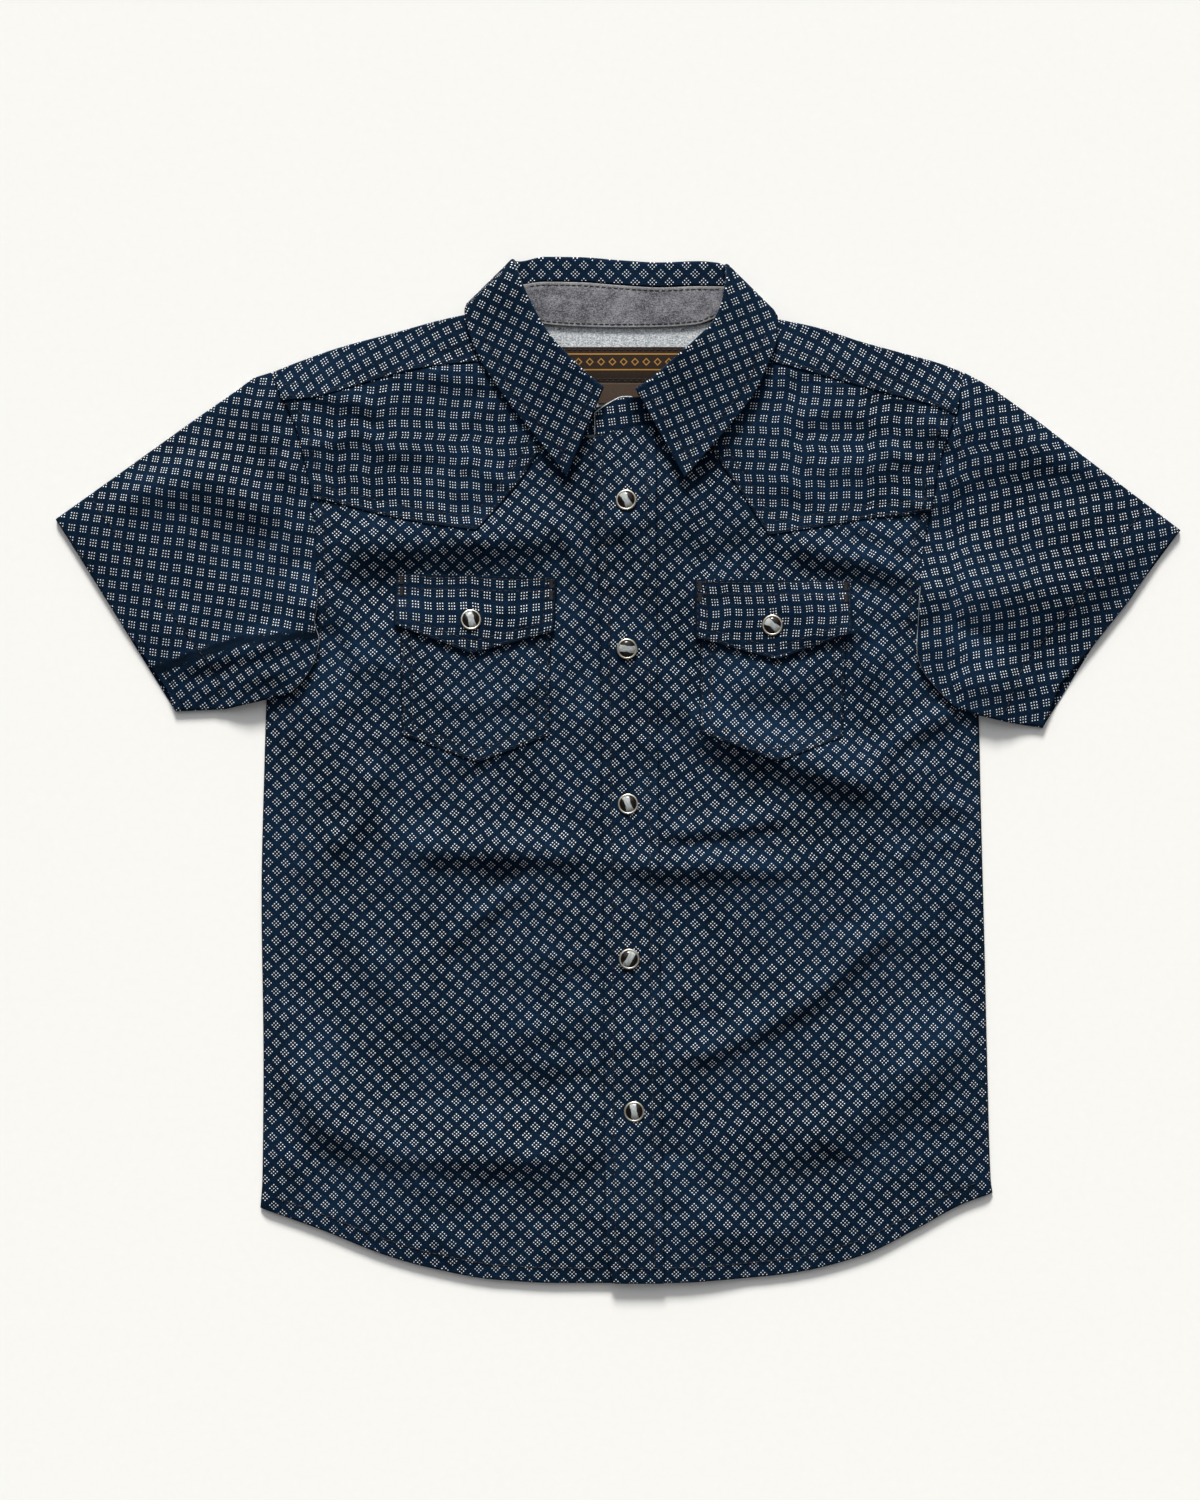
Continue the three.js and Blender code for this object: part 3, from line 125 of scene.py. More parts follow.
LAP_TOP = [(-11.8, 152.6), (1.5, 156.6), (14.7, 159.2)]
PLACKET_EDGE = [
    (-2.8, -235.4), (-5.5, -216.1), (-6.4, -151.7), (-6.9, -59.7), (-7.8, 13.9), (-8.7, 78.3),
    (-10.6, 110.5), (-11.8, 153.0),
]
PLACKET_SEAM = [(21.6, -240.0), (19.8, -105.7), (18.4, 32.3), (17.5, 162.0)]
SHOULDER = {
    "right": [
        (-159.2, 183.2), (-146.3, 188.3), (-127.9, 194.7), (-100.3, 202.1), (-81.9, 207.1),
        (-71.3, 209.4), (-51.5, 213.2),
    ],
    "left": [
        (158.7, 183.2), (148.1, 187.3), (129.7, 192.4), (111.3, 197.5), (92.9, 203.4),
        (72.5, 207.8), (55.0, 211.8),
    ],
}
BACK_NECK = [
    (-51.5, 213.2), (-44.0, 208.4), (-33.6, 205.4), (-17.5, 204.3), (0.9, 204.0), (19.3, 204.1),
    (36.3, 205.3), (47.0, 208.0), (55.0, 211.8),
]
BACK_SEAM = [
    (-143.3, 138.0), (-100.0, 128.5), (-45.0, 118.5), (1.0, 109.5), (47.0, 118.5), (102.0, 128.5),
    (147.0, 138.0),
]
YOKE_FOOT = {
    "right": [
        (-140.9, 124.6), (-130.2, 122.9), (-109.5, 117.4), (-86.5, 112.8), (-64.9, 110.1),
        (-54.3, 122.0), (-45.1, 132.6), (-35.4, 147.8), (-27.6, 159.4),
    ],
    "left": [
        (143.6, 118.6), (129.7, 116.5), (115.9, 115.6), (97.5, 112.4), (69.0, 107.8),
        (63.0, 117.4), (56.1, 128.0), (48.3, 139.0), (38.0, 154.9), (34.0, 161.4),
    ],
}
POCKET = {
    "right": [(-100.6, 86.0), (-99.4, 16.2), (-64.4, 3.3), (-31.7, 15.8), (-30.4, 86.0)],
    "left": [(37.6, 84.0), (37.3, 17.1), (72.7, 3.8), (103.5, 15.3), (105.4, 84.0)],
}
FLAP = {
    "right": [(-102.1, 90.3), (-103.0, 66.8), (-67.2, 53.5), (-29.4, 63.6), (-28.1, 88.4)],
    "left": [(35.0, 87.5), (35.4, 60.8), (72.7, 50.7), (107.6, 62.7), (107.2, 87.1)],
}
FLAP_FLARE = {"from": 78.0, "rate": 0.05}
SLEEVE = {
    "right": {
        "shoulder": [
            (-159.8, 183.2), (-168.0, 180.6), (-174.8, 175.4), (-196.9, 160.0), (-229.1, 136.9),
            (-259.0, 115.6),
        ],
        "under": [(-150.9, 35.1), (-162.4, 32.2), (-180.8, 28.0), (-203.8, 27.0)],
        "cuff": [
            (-259.0, 115.6), (-250.4, 103.4), (-227.2, 69.8), (-204.0, 38.4), (-199.6, 28.0),
        ],
        "cuff_back": [(-259.0, 115.6), (-231.4, 71.4), (-203.8, 27.0)],
        "over_body": [(-137.2, 60.0), (-139.5, 50.0), (-145.0, 41.0), (-150.9, 35.1)],
    },
    "left": {
        "shoulder": [
            (159.3, 183.2), (167.5, 178.8), (175.7, 173.5), (194.1, 160.2), (212.5, 146.0),
            (259.0, 110.5),
        ],
        "under": [(155.0, 28.6), (166.5, 25.0), (180.3, 21.7), (195.5, 19.4)],
        "cuff": [
            (259.0, 110.5), (249.3, 99.0), (235.5, 78.3), (220.8, 59.9), (203.3, 39.2),
            (195.5, 19.4),
        ],
        "cuff_back": [(259.0, 110.5), (234.0, 76.8), (218.6, 56.8), (195.5, 19.4)],
        "over_body": [(137.0, 56.0), (138.8, 48.0), (145.5, 38.5), (155.0, 28.6)],
    },
}
SLEEVE_LIFT = {"near": 6.0, "far": 24.0, "y_full": 78.0, "y_none": 106.0, "slack": 0.5}
ARM_LOW = 60.0

# Collar sections from the wearer's right tip round the back to the left tip:
# roll, free edge and neck seam in plan, strip, turn, level, seam height, lift of the free edge
COLLAR = [
    ((-6.9, 174.4), (-23.5, 134.4), (-14.6, 154.9), 2.5, 0, None, None, 0.8),
    ((-13.4, 179.6), (-31.4, 144.6), (-21.4, 158.4), 2.5, 0, None, None, 0.5),
    ((-23.0, 188.7), (-46.0, 163.0), (-30.1, 164.5), 3, 0, None, None, 0.3),
    ((-32.2, 198.8), (-56.0, 176.4), (-38.6, 172.8), 4, 0, None, None, 0.3),
    ((-38.6, 209.4), (-64.6, 190.6), (-45.4, 184.6), 5, 5, None, None, 0.3),
    ((-44.2, 221.0), (-69.4, 204.2), (-50.2, 201.0), 4.5, 20, 6.6, 4.6, 0.3),
    ((-47.6, 230.4), (-70.2, 211.0), (-50.4, 210.6), 4.5, 55, 6.0, 3.9, 0),
    ((-48.4, 233.5), (-69.0, 213.2), (-48.8, 212.8), 5.5, 85, 4.4, 3.3, 0),
    ((-48.3, 233.4), (-68.9, 213.2), (-46.4, 212.0), 7, 115, 2.4, 2.6, 0),
    ((-46.0, 233.2), (-66.4, 211.6), (-42.6, 209.6), 9.5, 165, 1.4, 2.0, 0),
    ((-33.6, 235.2), (-40.5, 199.3), (-33.4, 206.4), 10, 180, 1.25, None, 0),
    ((-17.5, 235.0), (-19.8, 196.5), (-17.4, 205.2), 10, 180, 1.25, None, 0),
    ((0.9, 233.6), (0.9, 195.6), (0.9, 204.8), 10, 180, 1.25, None, 0),
    ((19.3, 232.6), (21.6, 196.1), (19.2, 205.0), 10, 180, 1.25, None, 0),
    ((36.3, 233.2), (43.2, 198.8), (36.0, 206.2), 10, 180, 1.25, None, 0),
    ((46.6, 232.6), (67.0, 209.4), (45.4, 209.4), 9.5, 165, 1.4, 2.0, 0),
    ((49.6, 231.0), (70.6, 210.6), (50.0, 211.0), 7, 115, 2.4, 2.6, 0),
    ((49.8, 231.0), (70.8, 210.6), (52.6, 212.2), 5.5, 85, 4.4, 3.3, 0),
    ((50.2, 228.0), (73.0, 207.6), (54.0, 210.0), 4.5, 55, 6.0, 3.9, 0),
    ((49.2, 217.6), (73.0, 198.6), (53.8, 200.6), 4.5, 20, 6.6, 4.6, 1.2),
    ((44.6, 205.4), (69.0, 186.4), (48.4, 185.4), 5, 5, None, None, 1.8),
    ((36.6, 196.8), (62.6, 172.8), (42.0, 176.2), 4, 0, None, None, 2.2),
    ((27.6, 188.8), (53.4, 160.4), (33.6, 168.6), 3, 0, None, None, 2.4),
    ((16.6, 179.2), (41.6, 146.6), (23.8, 163.4), 2.5, 0, None, None, 2.4),
    ((8.4, 173.6), (30.4, 133.5), (14.2, 160.4), 2.5, 0, None, None, 2.4),
]
HALF_LEAF = LAYER / 2
LEAF_CROWN = {"height": 0.5, "peak": 0.3}
LEAF_FALL = 1.15
LEAF_CLEAR = 0.6
ROLL_RISE = 0.6
BAND_DROP = 0.8
BAND_GAP = 0.45
ROLL_UP = 6.0
UPRIGHT_TURN = 90
BAND_END = [
    ((2.5, 171.5), (1.4, 157.9)), ((-4.8, 168.2), (-4.4, 156.4)), ((-10.6, 164.0), (-10.6, 155.0)),
]
UNDER_BAND = [(-16.5, 153.6), (-6.0, 154.6), (12.5, 158.5), (10.5, 167.0), (-4.0, 167.4), (-14.5, 166.5)]
BAND_OVER = {"past": 1.5, "up": 0.5, "edge": 0.36, "edge_from": 7.0}
FACING = {"from": -42.0, "to": 48.0, "lower": -1.3, "upper": 0.6, "slant": (-5.0, 3.6), "groove": 1.5}
LABEL = (-32.2, 178.6, 38.6, 194.7)
SIZE_TAB = (-9.2, 168.5, 15.6, 178.2)

# Folds: height, width of the side towards the collar and of the side towards the hem, path
FOLDS = [
    (2.2, 12, 8.5, [(-137, 103), (-100, 104), (-63, 106), (-27, 107), (-12, 106)]),
    (-1.0, 8, 8, [(-136, 83), (-100, 84), (-27, 85)]),
    (1.2, 6, 4, [(-92, 182), (-75, 180), (-58, 178)]),
    (0.8, 5, 4, [(-146, 172), (-123, 170), (-107, 159), (-95, 150)]),
    (0.7, 7, 5, [(-120, 146), (-95, 146), (-60, 141)]),
    (1.0, 5, 4, [(-37, 124), (-24, 106), (-13, 83), (-8, 60)]),
    (-1.1, 4, 4, [(-135, 72), (-124, 38), (-123, 8)]),
    (0.8, 6, 6, [(-108, 74), (-114, 38)]),
    (1.2, 6, 5, [(-112, 1), (-119, -22), (-135, -38)]),
    (0.9, 12, 8, [(-89, 123), (-50, 137)]),
    (0.8, 4, 4, [(-137, 144), (-119, 155), (-102, 146)]),
    (0.6, 3, 3, [(-144, 171), (-142, 139)]),
    (-0.9, 4, 4, [(-20, 128), (-13, 111), (-11, 79), (-13, 47)]),
    (0.8, 9, 7, [(-50, -121), (-8, -112)]),
    (-0.35, 3, 3, [(-10.5, 132), (-9.5, 60), (-9, -20), (-8.5, -90)]),
    (0.5, 5, 4, [(-92, 36), (-66, 30), (-33, 41)]),
    (0.5, 5, 4, [(-98, 16), (-70, 4), (-36, 14)]),
    (0.9, 6, 5, [(-114, 4), (-111, -18), (-103, -36)]),
    (2.4, 11, 7, [(-103, -36), (-68, -37), (-27, -39), (-8, -42)]),
    (-1.8, 9, 11, [(-153, -30), (-146, -64), (-130, -101), (-105, -129), (-68, -143), (-8, -149)]),
    (2.4, 14, 9, [(-161, -122), (-146, -145), (-126, -168), (-91, -176), (-45, -177), (-8, -175)]),
    (0.8, 4, 4, [(-160, -165), (-147, -188)]),
    (0.6, 5, 4, [(-40, -85), (-8, -90)]),
    (0.9, 6, 4, [(-86, -87), (-63, -67), (-36, -50)]),
    (1.2, 5, 4.5, [(104, 114), (121, 108), (137, 102)]),
    (1.9, 7, 7, [(74, 106), (98, 100), (116, 96), (136, 88)]),
    (-0.9, 6, 6, [(74, 92), (110, 84), (134, 77)]),
    (-1.1, 4, 4, [(109, 56), (112, 29), (114, 1)]),
    (1.4, 6, 5, [(116, 1), (135, 17), (160, 29)]),
    (1.0, 10, 8, [(43, 36), (93, 40)]),
    (0.7, 5, 5, [(27, 47), (29, 24)]),
    (0.8, 5, 4, [(122, 60), (114, 38)]),
    (3.2, 14, 8.5, [(26, 26), (56, 12), (84, 3), (116, -7), (128, -14)]),
    (1.1, 5, 5, [(131, 12), (140, -9), (137, -32), (123, -48)]),
    (1.4, 6, 3.5, [(17, -30), (47, -27), (80, -22)]),
    (1.7, 7, 6, [(-6, -42), (29, -45), (65, -45), (84, -42)]),
    (1.6, 9, 5, [(10, -136), (38, -130), (65, -119), (93, -101), (116, -80), (135, -62)]),
    (2.2, 16, 12, [(56, -175), (84, -170), (116, -156), (144, -133), (169, -106)]),
    (0.8, 4, 4, [(143, -33), (167, -31)]),
    (0.7, 4, 4, [(145, -14), (166, -19)]),
    (0.7, 8, 7, [(33, -212), (61, -214), (88, -211)]),
    (0.8, 6, 5, [(80, 158), (98, 165), (130, 158)]),
    (0.8, 5, 5, [(130, 159), (148, 154), (157, 147)]),
    (0.7, 8, 6, [(78, 145), (105, 140), (134, 143)]),
    (2.4, 14, 11, [(-236, 124), (-211, 131), (-190, 133), (-169, 124), (-150, 112)]),
    (1.7, 5, 4.5, [(-168, 177), (-162, 154), (-149, 129)]),
    (1.3, 6, 5, [(-206, 45), (-174, 54), (-146, 60)]),
    (0.9, 5, 4, [(-199, 35), (-174, 39), (-150, 47)]),
    (0.8, 3.5, 3.5, [(-208, 52), (-201, 34)]),
    (1.3, 9, 9, [(172, 160), (196, 152), (224, 136)]),
    (-1.9, 10, 9, [(142, 103), (176, 124), (232, 134)]),
    (1.6, 12, 14, [(142, 84), (170, 82), (203, 83), (235, 97), (252, 106)]),
    (-0.7, 8, 9, [(146, 62), (176, 54), (212, 50)]),
    (0.8, 7, 6, [(150, 44), (170, 38), (196, 40)]),
    (0.9, 5, 5, [(-3, 120), (8, 104), (12, 78)]),
]
BACK_CREASES = [
    (0.8, 9, 7, [(-120, 60), (-60, 52), (30, 58), (110, 50)]),
    (0.7, 8, 9, [(-130, -40), (-70, -58), (0, -50), (90, -66), (135, -52)]),
    (0.8, 10, 8, [(-110, -150), (-40, -170), (50, -165), (120, -140)]),
    (0.5, 6, 6, [(-90, 100), (-60, 60), (-66, 10)]),
    (0.6, 6, 7, [(84, 92), (72, 44), (90, -8)]),
]


def smooth(value):
    t = np.clip(value, 0.0, 1.0)
    return t * t * (3 - 2 * t)


def mix(a, b, t):
    return a + (b - a) * t


def pchip(knots, values, at):
    """Values at the knots, joined by a smooth curve without overshoot and held at its ends."""
    knots = np.asarray(knots, float)
    values = np.asarray(values, float)
    shape = (-1,) + (1,) * (values.ndim - 1)
    gaps = np.diff(knots).reshape(shape)
    rate = np.diff(values, axis=0) / gaps
    before, after = rate[:-1], rate[1:]
    total = before + after
    safe = np.where(total == 0, 1.0, total)
    inner = np.where(before * after > 0, 2 * before * after / safe, 0.0)
    slope = np.concatenate([rate[:1], inner, rate[-1:]])
    at = np.clip(np.asarray(at, float), knots[0], knots[-1])
    i = np.clip(np.searchsorted(knots, at, side="right") - 1, 0, len(knots) - 2)
    tail = (1,) * (values.ndim - 1)
    span = (knots[i + 1] - knots[i]).reshape(at.shape + tail)
    t = ((at - knots[i]) / (knots[i + 1] - knots[i])).reshape(at.shape + tail)
    bend = t * t * (3 - 2 * t)
    lead = t * (1 - t) ** 2 * slope[i] * span
    trail = t * t * (t - 1) * slope[i + 1] * span
    return mix(values[i], values[i + 1], bend) + lead + trail


def curve(points, key=0):
    """One coordinate of a row of points as a smooth function of the other."""
    rows = np.array(sorted(points, key=lambda p: p[key]), float)
    return lambda value: pchip(rows[:, key], rows[:, 1 - key], value)


def lengths_of(points):
    steps = np.hypot(*np.diff(points, axis=0).T)
    return np.concatenate([[0.0], np.cumsum(steps)])


def resampled(points, step):
    """A polyline with points about step apart that keeps its corners."""
    points = np.asarray(points, float)
    parts = []
    for a, b in zip(points[:-1], points[1:]):
        count = max(1, round(math.dist(a, b) / step))
        parts.append(a + (b - a) * (np.arange(count) / count)[:, None])
    return np.concatenate([*parts, points[-1:]])


def rounded(points, step):
    """A smooth curve through the points, with points about step apart."""
    points = np.asarray(points, float)
    knots = lengths_of(points)
    return pchip(knots, points, np.linspace(0, knots[-1], max(2, round(knots[-1] / step)) + 1))


def along(points, share):
    points = np.asarray(points, float)
    lengths = lengths_of(points)
    at = np.clip(share, 0, 1) * lengths[-1]
    return np.stack([np.interp(at, lengths, points[:, k]) for k in (0, 1)], -1)


def distance(x, y, line):
    """Distance of each point to a polyline."""
    line = np.asarray(line, float)
    best = np.full(np.shape(x), np.inf)
    for (ax, ay), (bx, by) in zip(line[:-1], line[1:]):
        dx, dy = bx - ax, by - ay
        size = dx * dx + dy * dy
        if size == 0:
            continue
        t = np.clip(((x - ax) * dx + (y - ay) * dy) / size, 0, 1)
        best = np.minimum(best, np.hypot(x - ax - t * dx, y - ay - t * dy))
    return best


hem_y = curve(HEM)
placket_x = curve(PLACKET_EDGE, 1)
placket_seam_x = curve(PLACKET_SEAM, 1)
back_seam_y = curve(BACK_SEAM)
back_neck_y = curve(BACK_NECK)
edge_x = {side: curve(BODY_EDGE[side], 1) for side in BODY_EDGE}
shoulder_y = {side: curve(SHOULDER[side]) for side in SHOULDER}
front_top_y = {side: curve(FRONT_TOP[side] + LAP_TOP) for side in FRONT_TOP}
SIDE_SEAM = {side: [p for p in BODY_EDGE[side] if p[1] <= UNDERARM[side]] for side in BODY_EDGE}

OUTLINE = (
    SHOULDER["right"][::-1]
    + SLEEVE["right"]["shoulder"]
    + SLEEVE["right"]["cuff_back"]
    + SLEEVE["right"]["under"][:0:-1]
    + [p for p in SIDE_SEAM["right"] if p[1] < UNDERARM["right"] - SLEEVE_LIFT["near"]][::-1]
    + HEM
    + [p for p in SIDE_SEAM["left"] if p[1] < UNDERARM["left"] - SLEEVE_LIFT["near"]]
    + SLEEVE["left"]["under"][1:]
    + SLEEVE["left"]["cuff_back"][::-1]
    + SLEEVE["left"]["shoulder"][::-1]
    + SHOULDER["left"]
)


# Height fields on a square raster
RASTER = 1.5
XS = np.arange(-264.0, 265.0, RASTER)
YS = np.arange(-244.0, 245.0, RASTER)
GRID_X, GRID_Y = np.meshgrid(XS, YS)


def sampled(field):
    """A field on the raster as a function of x and y."""

    def at(x, y):
        u = np.clip((np.asarray(x, float) - XS[0]) / RASTER, 0, len(XS) - 1.001)
        v = np.clip((np.asarray(y, float) - YS[0]) / RASTER, 0, len(YS) - 1.001)
        i, j = v.astype(int), u.astype(int)
        s, t = v - i, u - j
        low = field[i, j] * (1 - t) + field[i, j + 1] * t
        high = field[i + 1, j] * (1 - t) + field[i + 1, j + 1] * t
        return low * (1 - s) + high * s

    return at


def add_fold(field, height, up, down, path, taper=0.22):
    """Adds a ridge, or a trough if height is negative, that fades at both ends."""
    path = np.asarray(path, float)
    knots = lengths_of(path)
    line = pchip(knots, path, np.linspace(0, knots[-1], 4 * len(path)))
    reach = 3 * max(up, down)
    low, high = path.min(0) - reach, path.max(0) + reach
    rows = (YS >= low[1]) & (YS <= high[1])
    columns = (XS >= low[0]) & (XS <= high[0])
    window = np.ix_(rows, columns)
    x, y = GRID_X[window], GRID_Y[window]
    lengths = lengths_of(line)
    best = np.full(x.shape, np.inf)
    side = np.zeros(x.shape)
    share = np.zeros(x.shape)
    for (a, b, start) in zip(line[:-1], line[1:], lengths):
        d = b - a
        size = d @ d
        t = np.clip(((x - a[0]) * d[0] + (y - a[1]) * d[1]) / size, 0, 1)
        px, py = x - a[0] - t * d[0], y - a[1] - t * d[1]
        far = np.hypot(px, py)
        closer = far < best
        best = np.where(closer, far, best)
        side = np.where(closer, d[0] * py - d[1] * px, side)
        share = np.where(closer, (start + t * math.sqrt(size)) / lengths[-1], share)
    width = np.where(side > 0, up, down)
    ends = smooth(share / taper) * smooth((1 - share) / taper)
    field[window] += height * (0.25 + 0.75 * ends) * np.exp(-((best / width) ** 2))


def add_puckers(field, line, count, height, reach, inward):
    """Short uneven ridges across a seam."""
    line = np.asarray(line, float)
    for share in (np.arange(count) + RANDOM.uniform(0.2, 0.8, count)) / count:
        a = along(line, np.array([share]))[0]
        b = along(line, np.array([min(1.0, share + 0.01)]))[0]
        tangent = (b - a) / max(1e-6, math.dist(a, b))
        across = np.array([-tangent[1], tangent[0]])
        if across @ np.asarray(inward) < 0:
            across = -across
        turn = RANDOM.uniform(-0.5, 0.5)
        heading = across * math.cos(turn) + tangent * math.sin(turn)
        size = reach * RANDOM.uniform(0.5, 1.3)
        width = RANDOM.uniform(2.2, 3.6)
        top = height * RANDOM.uniform(0.5, 1.2)
        path = [a - heading * 2, a + heading * size * 0.5, a + heading * size]
        add_fold(field, top, width, width, path, 0.3)


def soft_noise(scale):
    """Smooth random heights between about -1 and 1."""
    rows = int((YS[-1] - YS[0]) / scale) + 3
    columns = int((XS[-1] - XS[0]) / scale) + 3
    coarse = RANDOM.uniform(-1, 1, (rows, columns))
    v = (YS - YS[0]) / scale
    u = (XS - XS[0]) / scale
    knots_v, knots_u = np.arange(rows), np.arange(columns)
    tall = pchip(knots_v, coarse, v)
    return pchip(knots_u, tall.T, u).T


def add_crumples(field, count):
    """Short soft creases of uneven size all over the cloth, mostly across it."""
    for _ in range(count):
        centre = np.array([RANDOM.uniform(-165, 165), RANDOM.uniform(-225, 180)])
        heading = RANDOM.normal(0, 0.55)
        half = RANDOM.uniform(7, 20)
        bend = RANDOM.uniform(-0.25, 0.25) * half
        way = np.array([math.cos(heading), math.sin(heading)])
        across = np.array([-way[1], way[0]])
        path = [centre - way * half, centre + across * bend, centre + way * half]
        width = RANDOM.uniform(2.4, 5.0)
        height = RANDOM.uniform(0.2, 1.0) * RANDOM.choice((1, 1, -1))
        add_fold(field, height, width * 1.2, width, path, 0.4)


def fold_field():
    field = np.zeros(GRID_X.shape)
    add_crumples(field, CRUMPLES)
    for height, up, down, path in FOLDS:
        add_fold(field, FOLD_STRENGTH * height, up, down, path)
    for side, inward in (("right", 1), ("left", -1)):
        arm = [p for p in BODY_EDGE[side] if p[1] > ARM_LOW]
        for count, height, reach, way in ARM_PUCKERS:
            add_puckers(field, arm, count, height, reach, (inward * way, -0.2))
    for side in ("right", "left"):
        foot = YOKE_FOOT[side][:YOKE_ROWS]
        add_puckers(field, foot, 9, 0.55, 10, (0, 1))
        add_puckers(field, foot, 8, 0.55, 11, (0, -1))
        add_puckers(field, FRONT_TOP[side][:SHOULDER_ROWS], 9, 0.7, 11, (0, -1))
    add_puckers(field, HEM, 34, 0.4, 8, (0, 1))
    for height, scale in UNEVEN:
        field += height * soft_noise(scale)
    return field


EDGE_FIELD = distance(GRID_X, GRID_Y, OUTLINE)
LIFT_ACROSS = LEAF_LIFT["none"] - np.abs(GRID_X - LEAF_LIFT["x"])
LIFT_UP = GRID_Y - LEAF_LIFT["y_none"]
BACK_FIELD = (
    LAYER
    * smooth(LIFT_ACROSS / (LEAF_LIFT["none"] - LEAF_LIFT["full"]))
    * smooth(LIFT_UP / (LEAF_LIFT["y_full"] - LEAF_LIFT["y_none"]))
)
RAMP = np.clip(EDGE_FIELD / PUFF_RAMP, 0, 1)
TO_NECK = np.hypot(GRID_X - NECK_RISE["x"], GRID_Y - NECK_RISE["y"])
NECK_FIELD = smooth((NECK_RISE["none"] - TO_NECK) / (NECK_RISE["none"] - NECK_RISE["full"]))
RISE = (
    PUFF * (1 - (1 - RAMP) ** 2)
    + NECK_RISE["height"] * NECK_FIELD * RAMP
    + fold_field() * smooth(EDGE_FIELD / FOLD_EDGE)
)
LIFTED = BACK_FIELD + LAYER
FRONT_FIELD = np.maximum(np.where(LIFTED > LAYER + 0.01, LIFTED + SEAM * RAMP, LIFTED), LAYER + RISE)
CREASE_FIELD = np.zeros(GRID_X.shape)
for crease in BACK_CREASES:
    add_fold(CREASE_FIELD, *crease)
CREASE_FIELD *= smooth(EDGE_FIELD / 40)
back_bottom = sampled(BACK_FIELD)
back_crease = sampled(CREASE_FIELD)
front_bottom = sampled(FRONT_FIELD)

# How much longer the cloth is than its plan, so that the print follows the folds
STRETCH_X = np.cumsum(np.hypot(1, np.gradient(FRONT_FIELD, RASTER, axis=1)) - 1, axis=1) * RASTER
STRETCH_Y = np.cumsum(np.hypot(1, np.gradient(FRONT_FIELD, RASTER, axis=0)) - 1, axis=0) * RASTER
stretch_x = sampled(STRETCH_X)
stretch_y = sampled(STRETCH_Y)
warp_x = sampled(1.3 * soft_noise(60.0) + 0.5 * soft_noise(22.0))
warp_y = sampled(1.3 * soft_noise(60.0) + 0.5 * soft_noise(22.0))


def lap_lift(x):
    """How far the upper front stands off for the lower one beneath it."""
    return LAYER * smooth((OVERLAP_NONE - x) / (OVERLAP_NONE - OVERLAP_FULL))


def cloth_place(x, y, degrees, folded=True):
    """Where a point of the plan lies on the cloth's own grain, in mm."""
    if folded:
        x, y = x + stretch_x(x, y) + warp_x(x, y), y + stretch_y(x, y) + warp_y(x, y)
    angle = math.radians(degrees)
    c, s = math.cos(angle), math.sin(angle)
    return x * c + y * s, y * c - x * s


# Materials: the print's repeat, its dots and the yarns, in mm
PITCH = 5.57
DOT_PITCH = 1.24
DOT_RADIUS = 0.25
DOT_SOFT = 0.06
DOT_WANDER = 0.16
DOT_RAGGED = 0.24
YARN = 0.34


class Nodes:
    """Builds a material's node tree."""

    def __init__(self, name):
        self.material = bpy.data.materials.new(name)
        self.material.use_nodes = True
        self.tree = self.material.node_tree
        self.shader = self.tree.nodes["Principled BSDF"]

    def put(self, socket, value):
        if isinstance(value, bpy.types.NodeSocket):
            self.tree.links.new(value, socket)
        else:
            socket.default_value = value

    def add(self, kind, inputs=(), out=0, **settings):
        node = self.tree.nodes.new(kind)
        for key, value in settings.items():
            setattr(node, key, value)
        for key, value in dict(inputs).items():
            self.put(node.inputs[key], value)
        return node.outputs[out]

    def math(self, operation, a, b=0.0, c=0.0):
        return self.add("ShaderNodeMath", {0: a, 1: b, 2: c}, operation=operation)

    def vector(self, operation, a, b=(0, 0, 0)):
        return self.add("ShaderNodeVectorMath", {0: a, 1: b}, operation=operation)

    def scaled(self, vector, factor):
        return self.add("ShaderNodeVectorMath", {0: vector, "Scale": factor}, operation="SCALE")

    def split(self, vector):
        node = self.tree.nodes.new("ShaderNodeSeparateXYZ")
        self.put(node.inputs[0], vector)
        return node.outputs

    def noise(self, vector, scale, detail=2.0, roughness=0.5):
        inputs = {"Vector": vector, "Scale": scale, "Detail": detail, "Roughness": roughness}
        return self.add("ShaderNodeTexNoise", inputs)

    def steps(self, value, low, high, to_low=0.0, to_high=1.0):
        inputs = {"Value": value, "From Min": low, "From Max": high, "To Min": to_low, "To Max": to_high}
        return self.add("ShaderNodeMapRange", inputs, interpolation_type="SMOOTHSTEP")

    def blend(self, factor, a, b):
        node = self.tree.nodes.new("ShaderNodeMix")
        node.data_type = "RGBA"
        for key, value in ((0, factor), (6, a), (7, b)):
            self.put(node.inputs[key], value)
        return node.outputs[2]

    def cloth(self):
        return self.add("ShaderNodeAttribute", attribute_name="cloth", out=1)

    def bump(self, height, strength, depth, normal=None):
        inputs = {"Height": height, "Strength": strength, "Distance": depth}
        if normal is not None:
            inputs["Normal"] = normal
        return self.add("ShaderNodeBump", inputs)

    def finish(self, **values):
        for key, value in values.items():
            self.put(self.shader.inputs[key.replace("_", " ")], value)
        return self.material


def rgb(red, green, blue):
    """Linear colour from 8-bit screen values."""
    values = [c / 255 for c in (red, green, blue)]
    linear = [c / 12.92 if c <= 0.04045 else ((c + 0.055) / 1.055) ** 2.4 for c in values]
    return (*linear, 1.0)


def weave_height(n, place):
    """Plain weave of yarns that run with the grain."""
    x, y, _ = n.split(n.scaled(place, math.pi / YARN))
    return n.math("MULTIPLY", n.math("SINE", x), n.math("SINE", y))


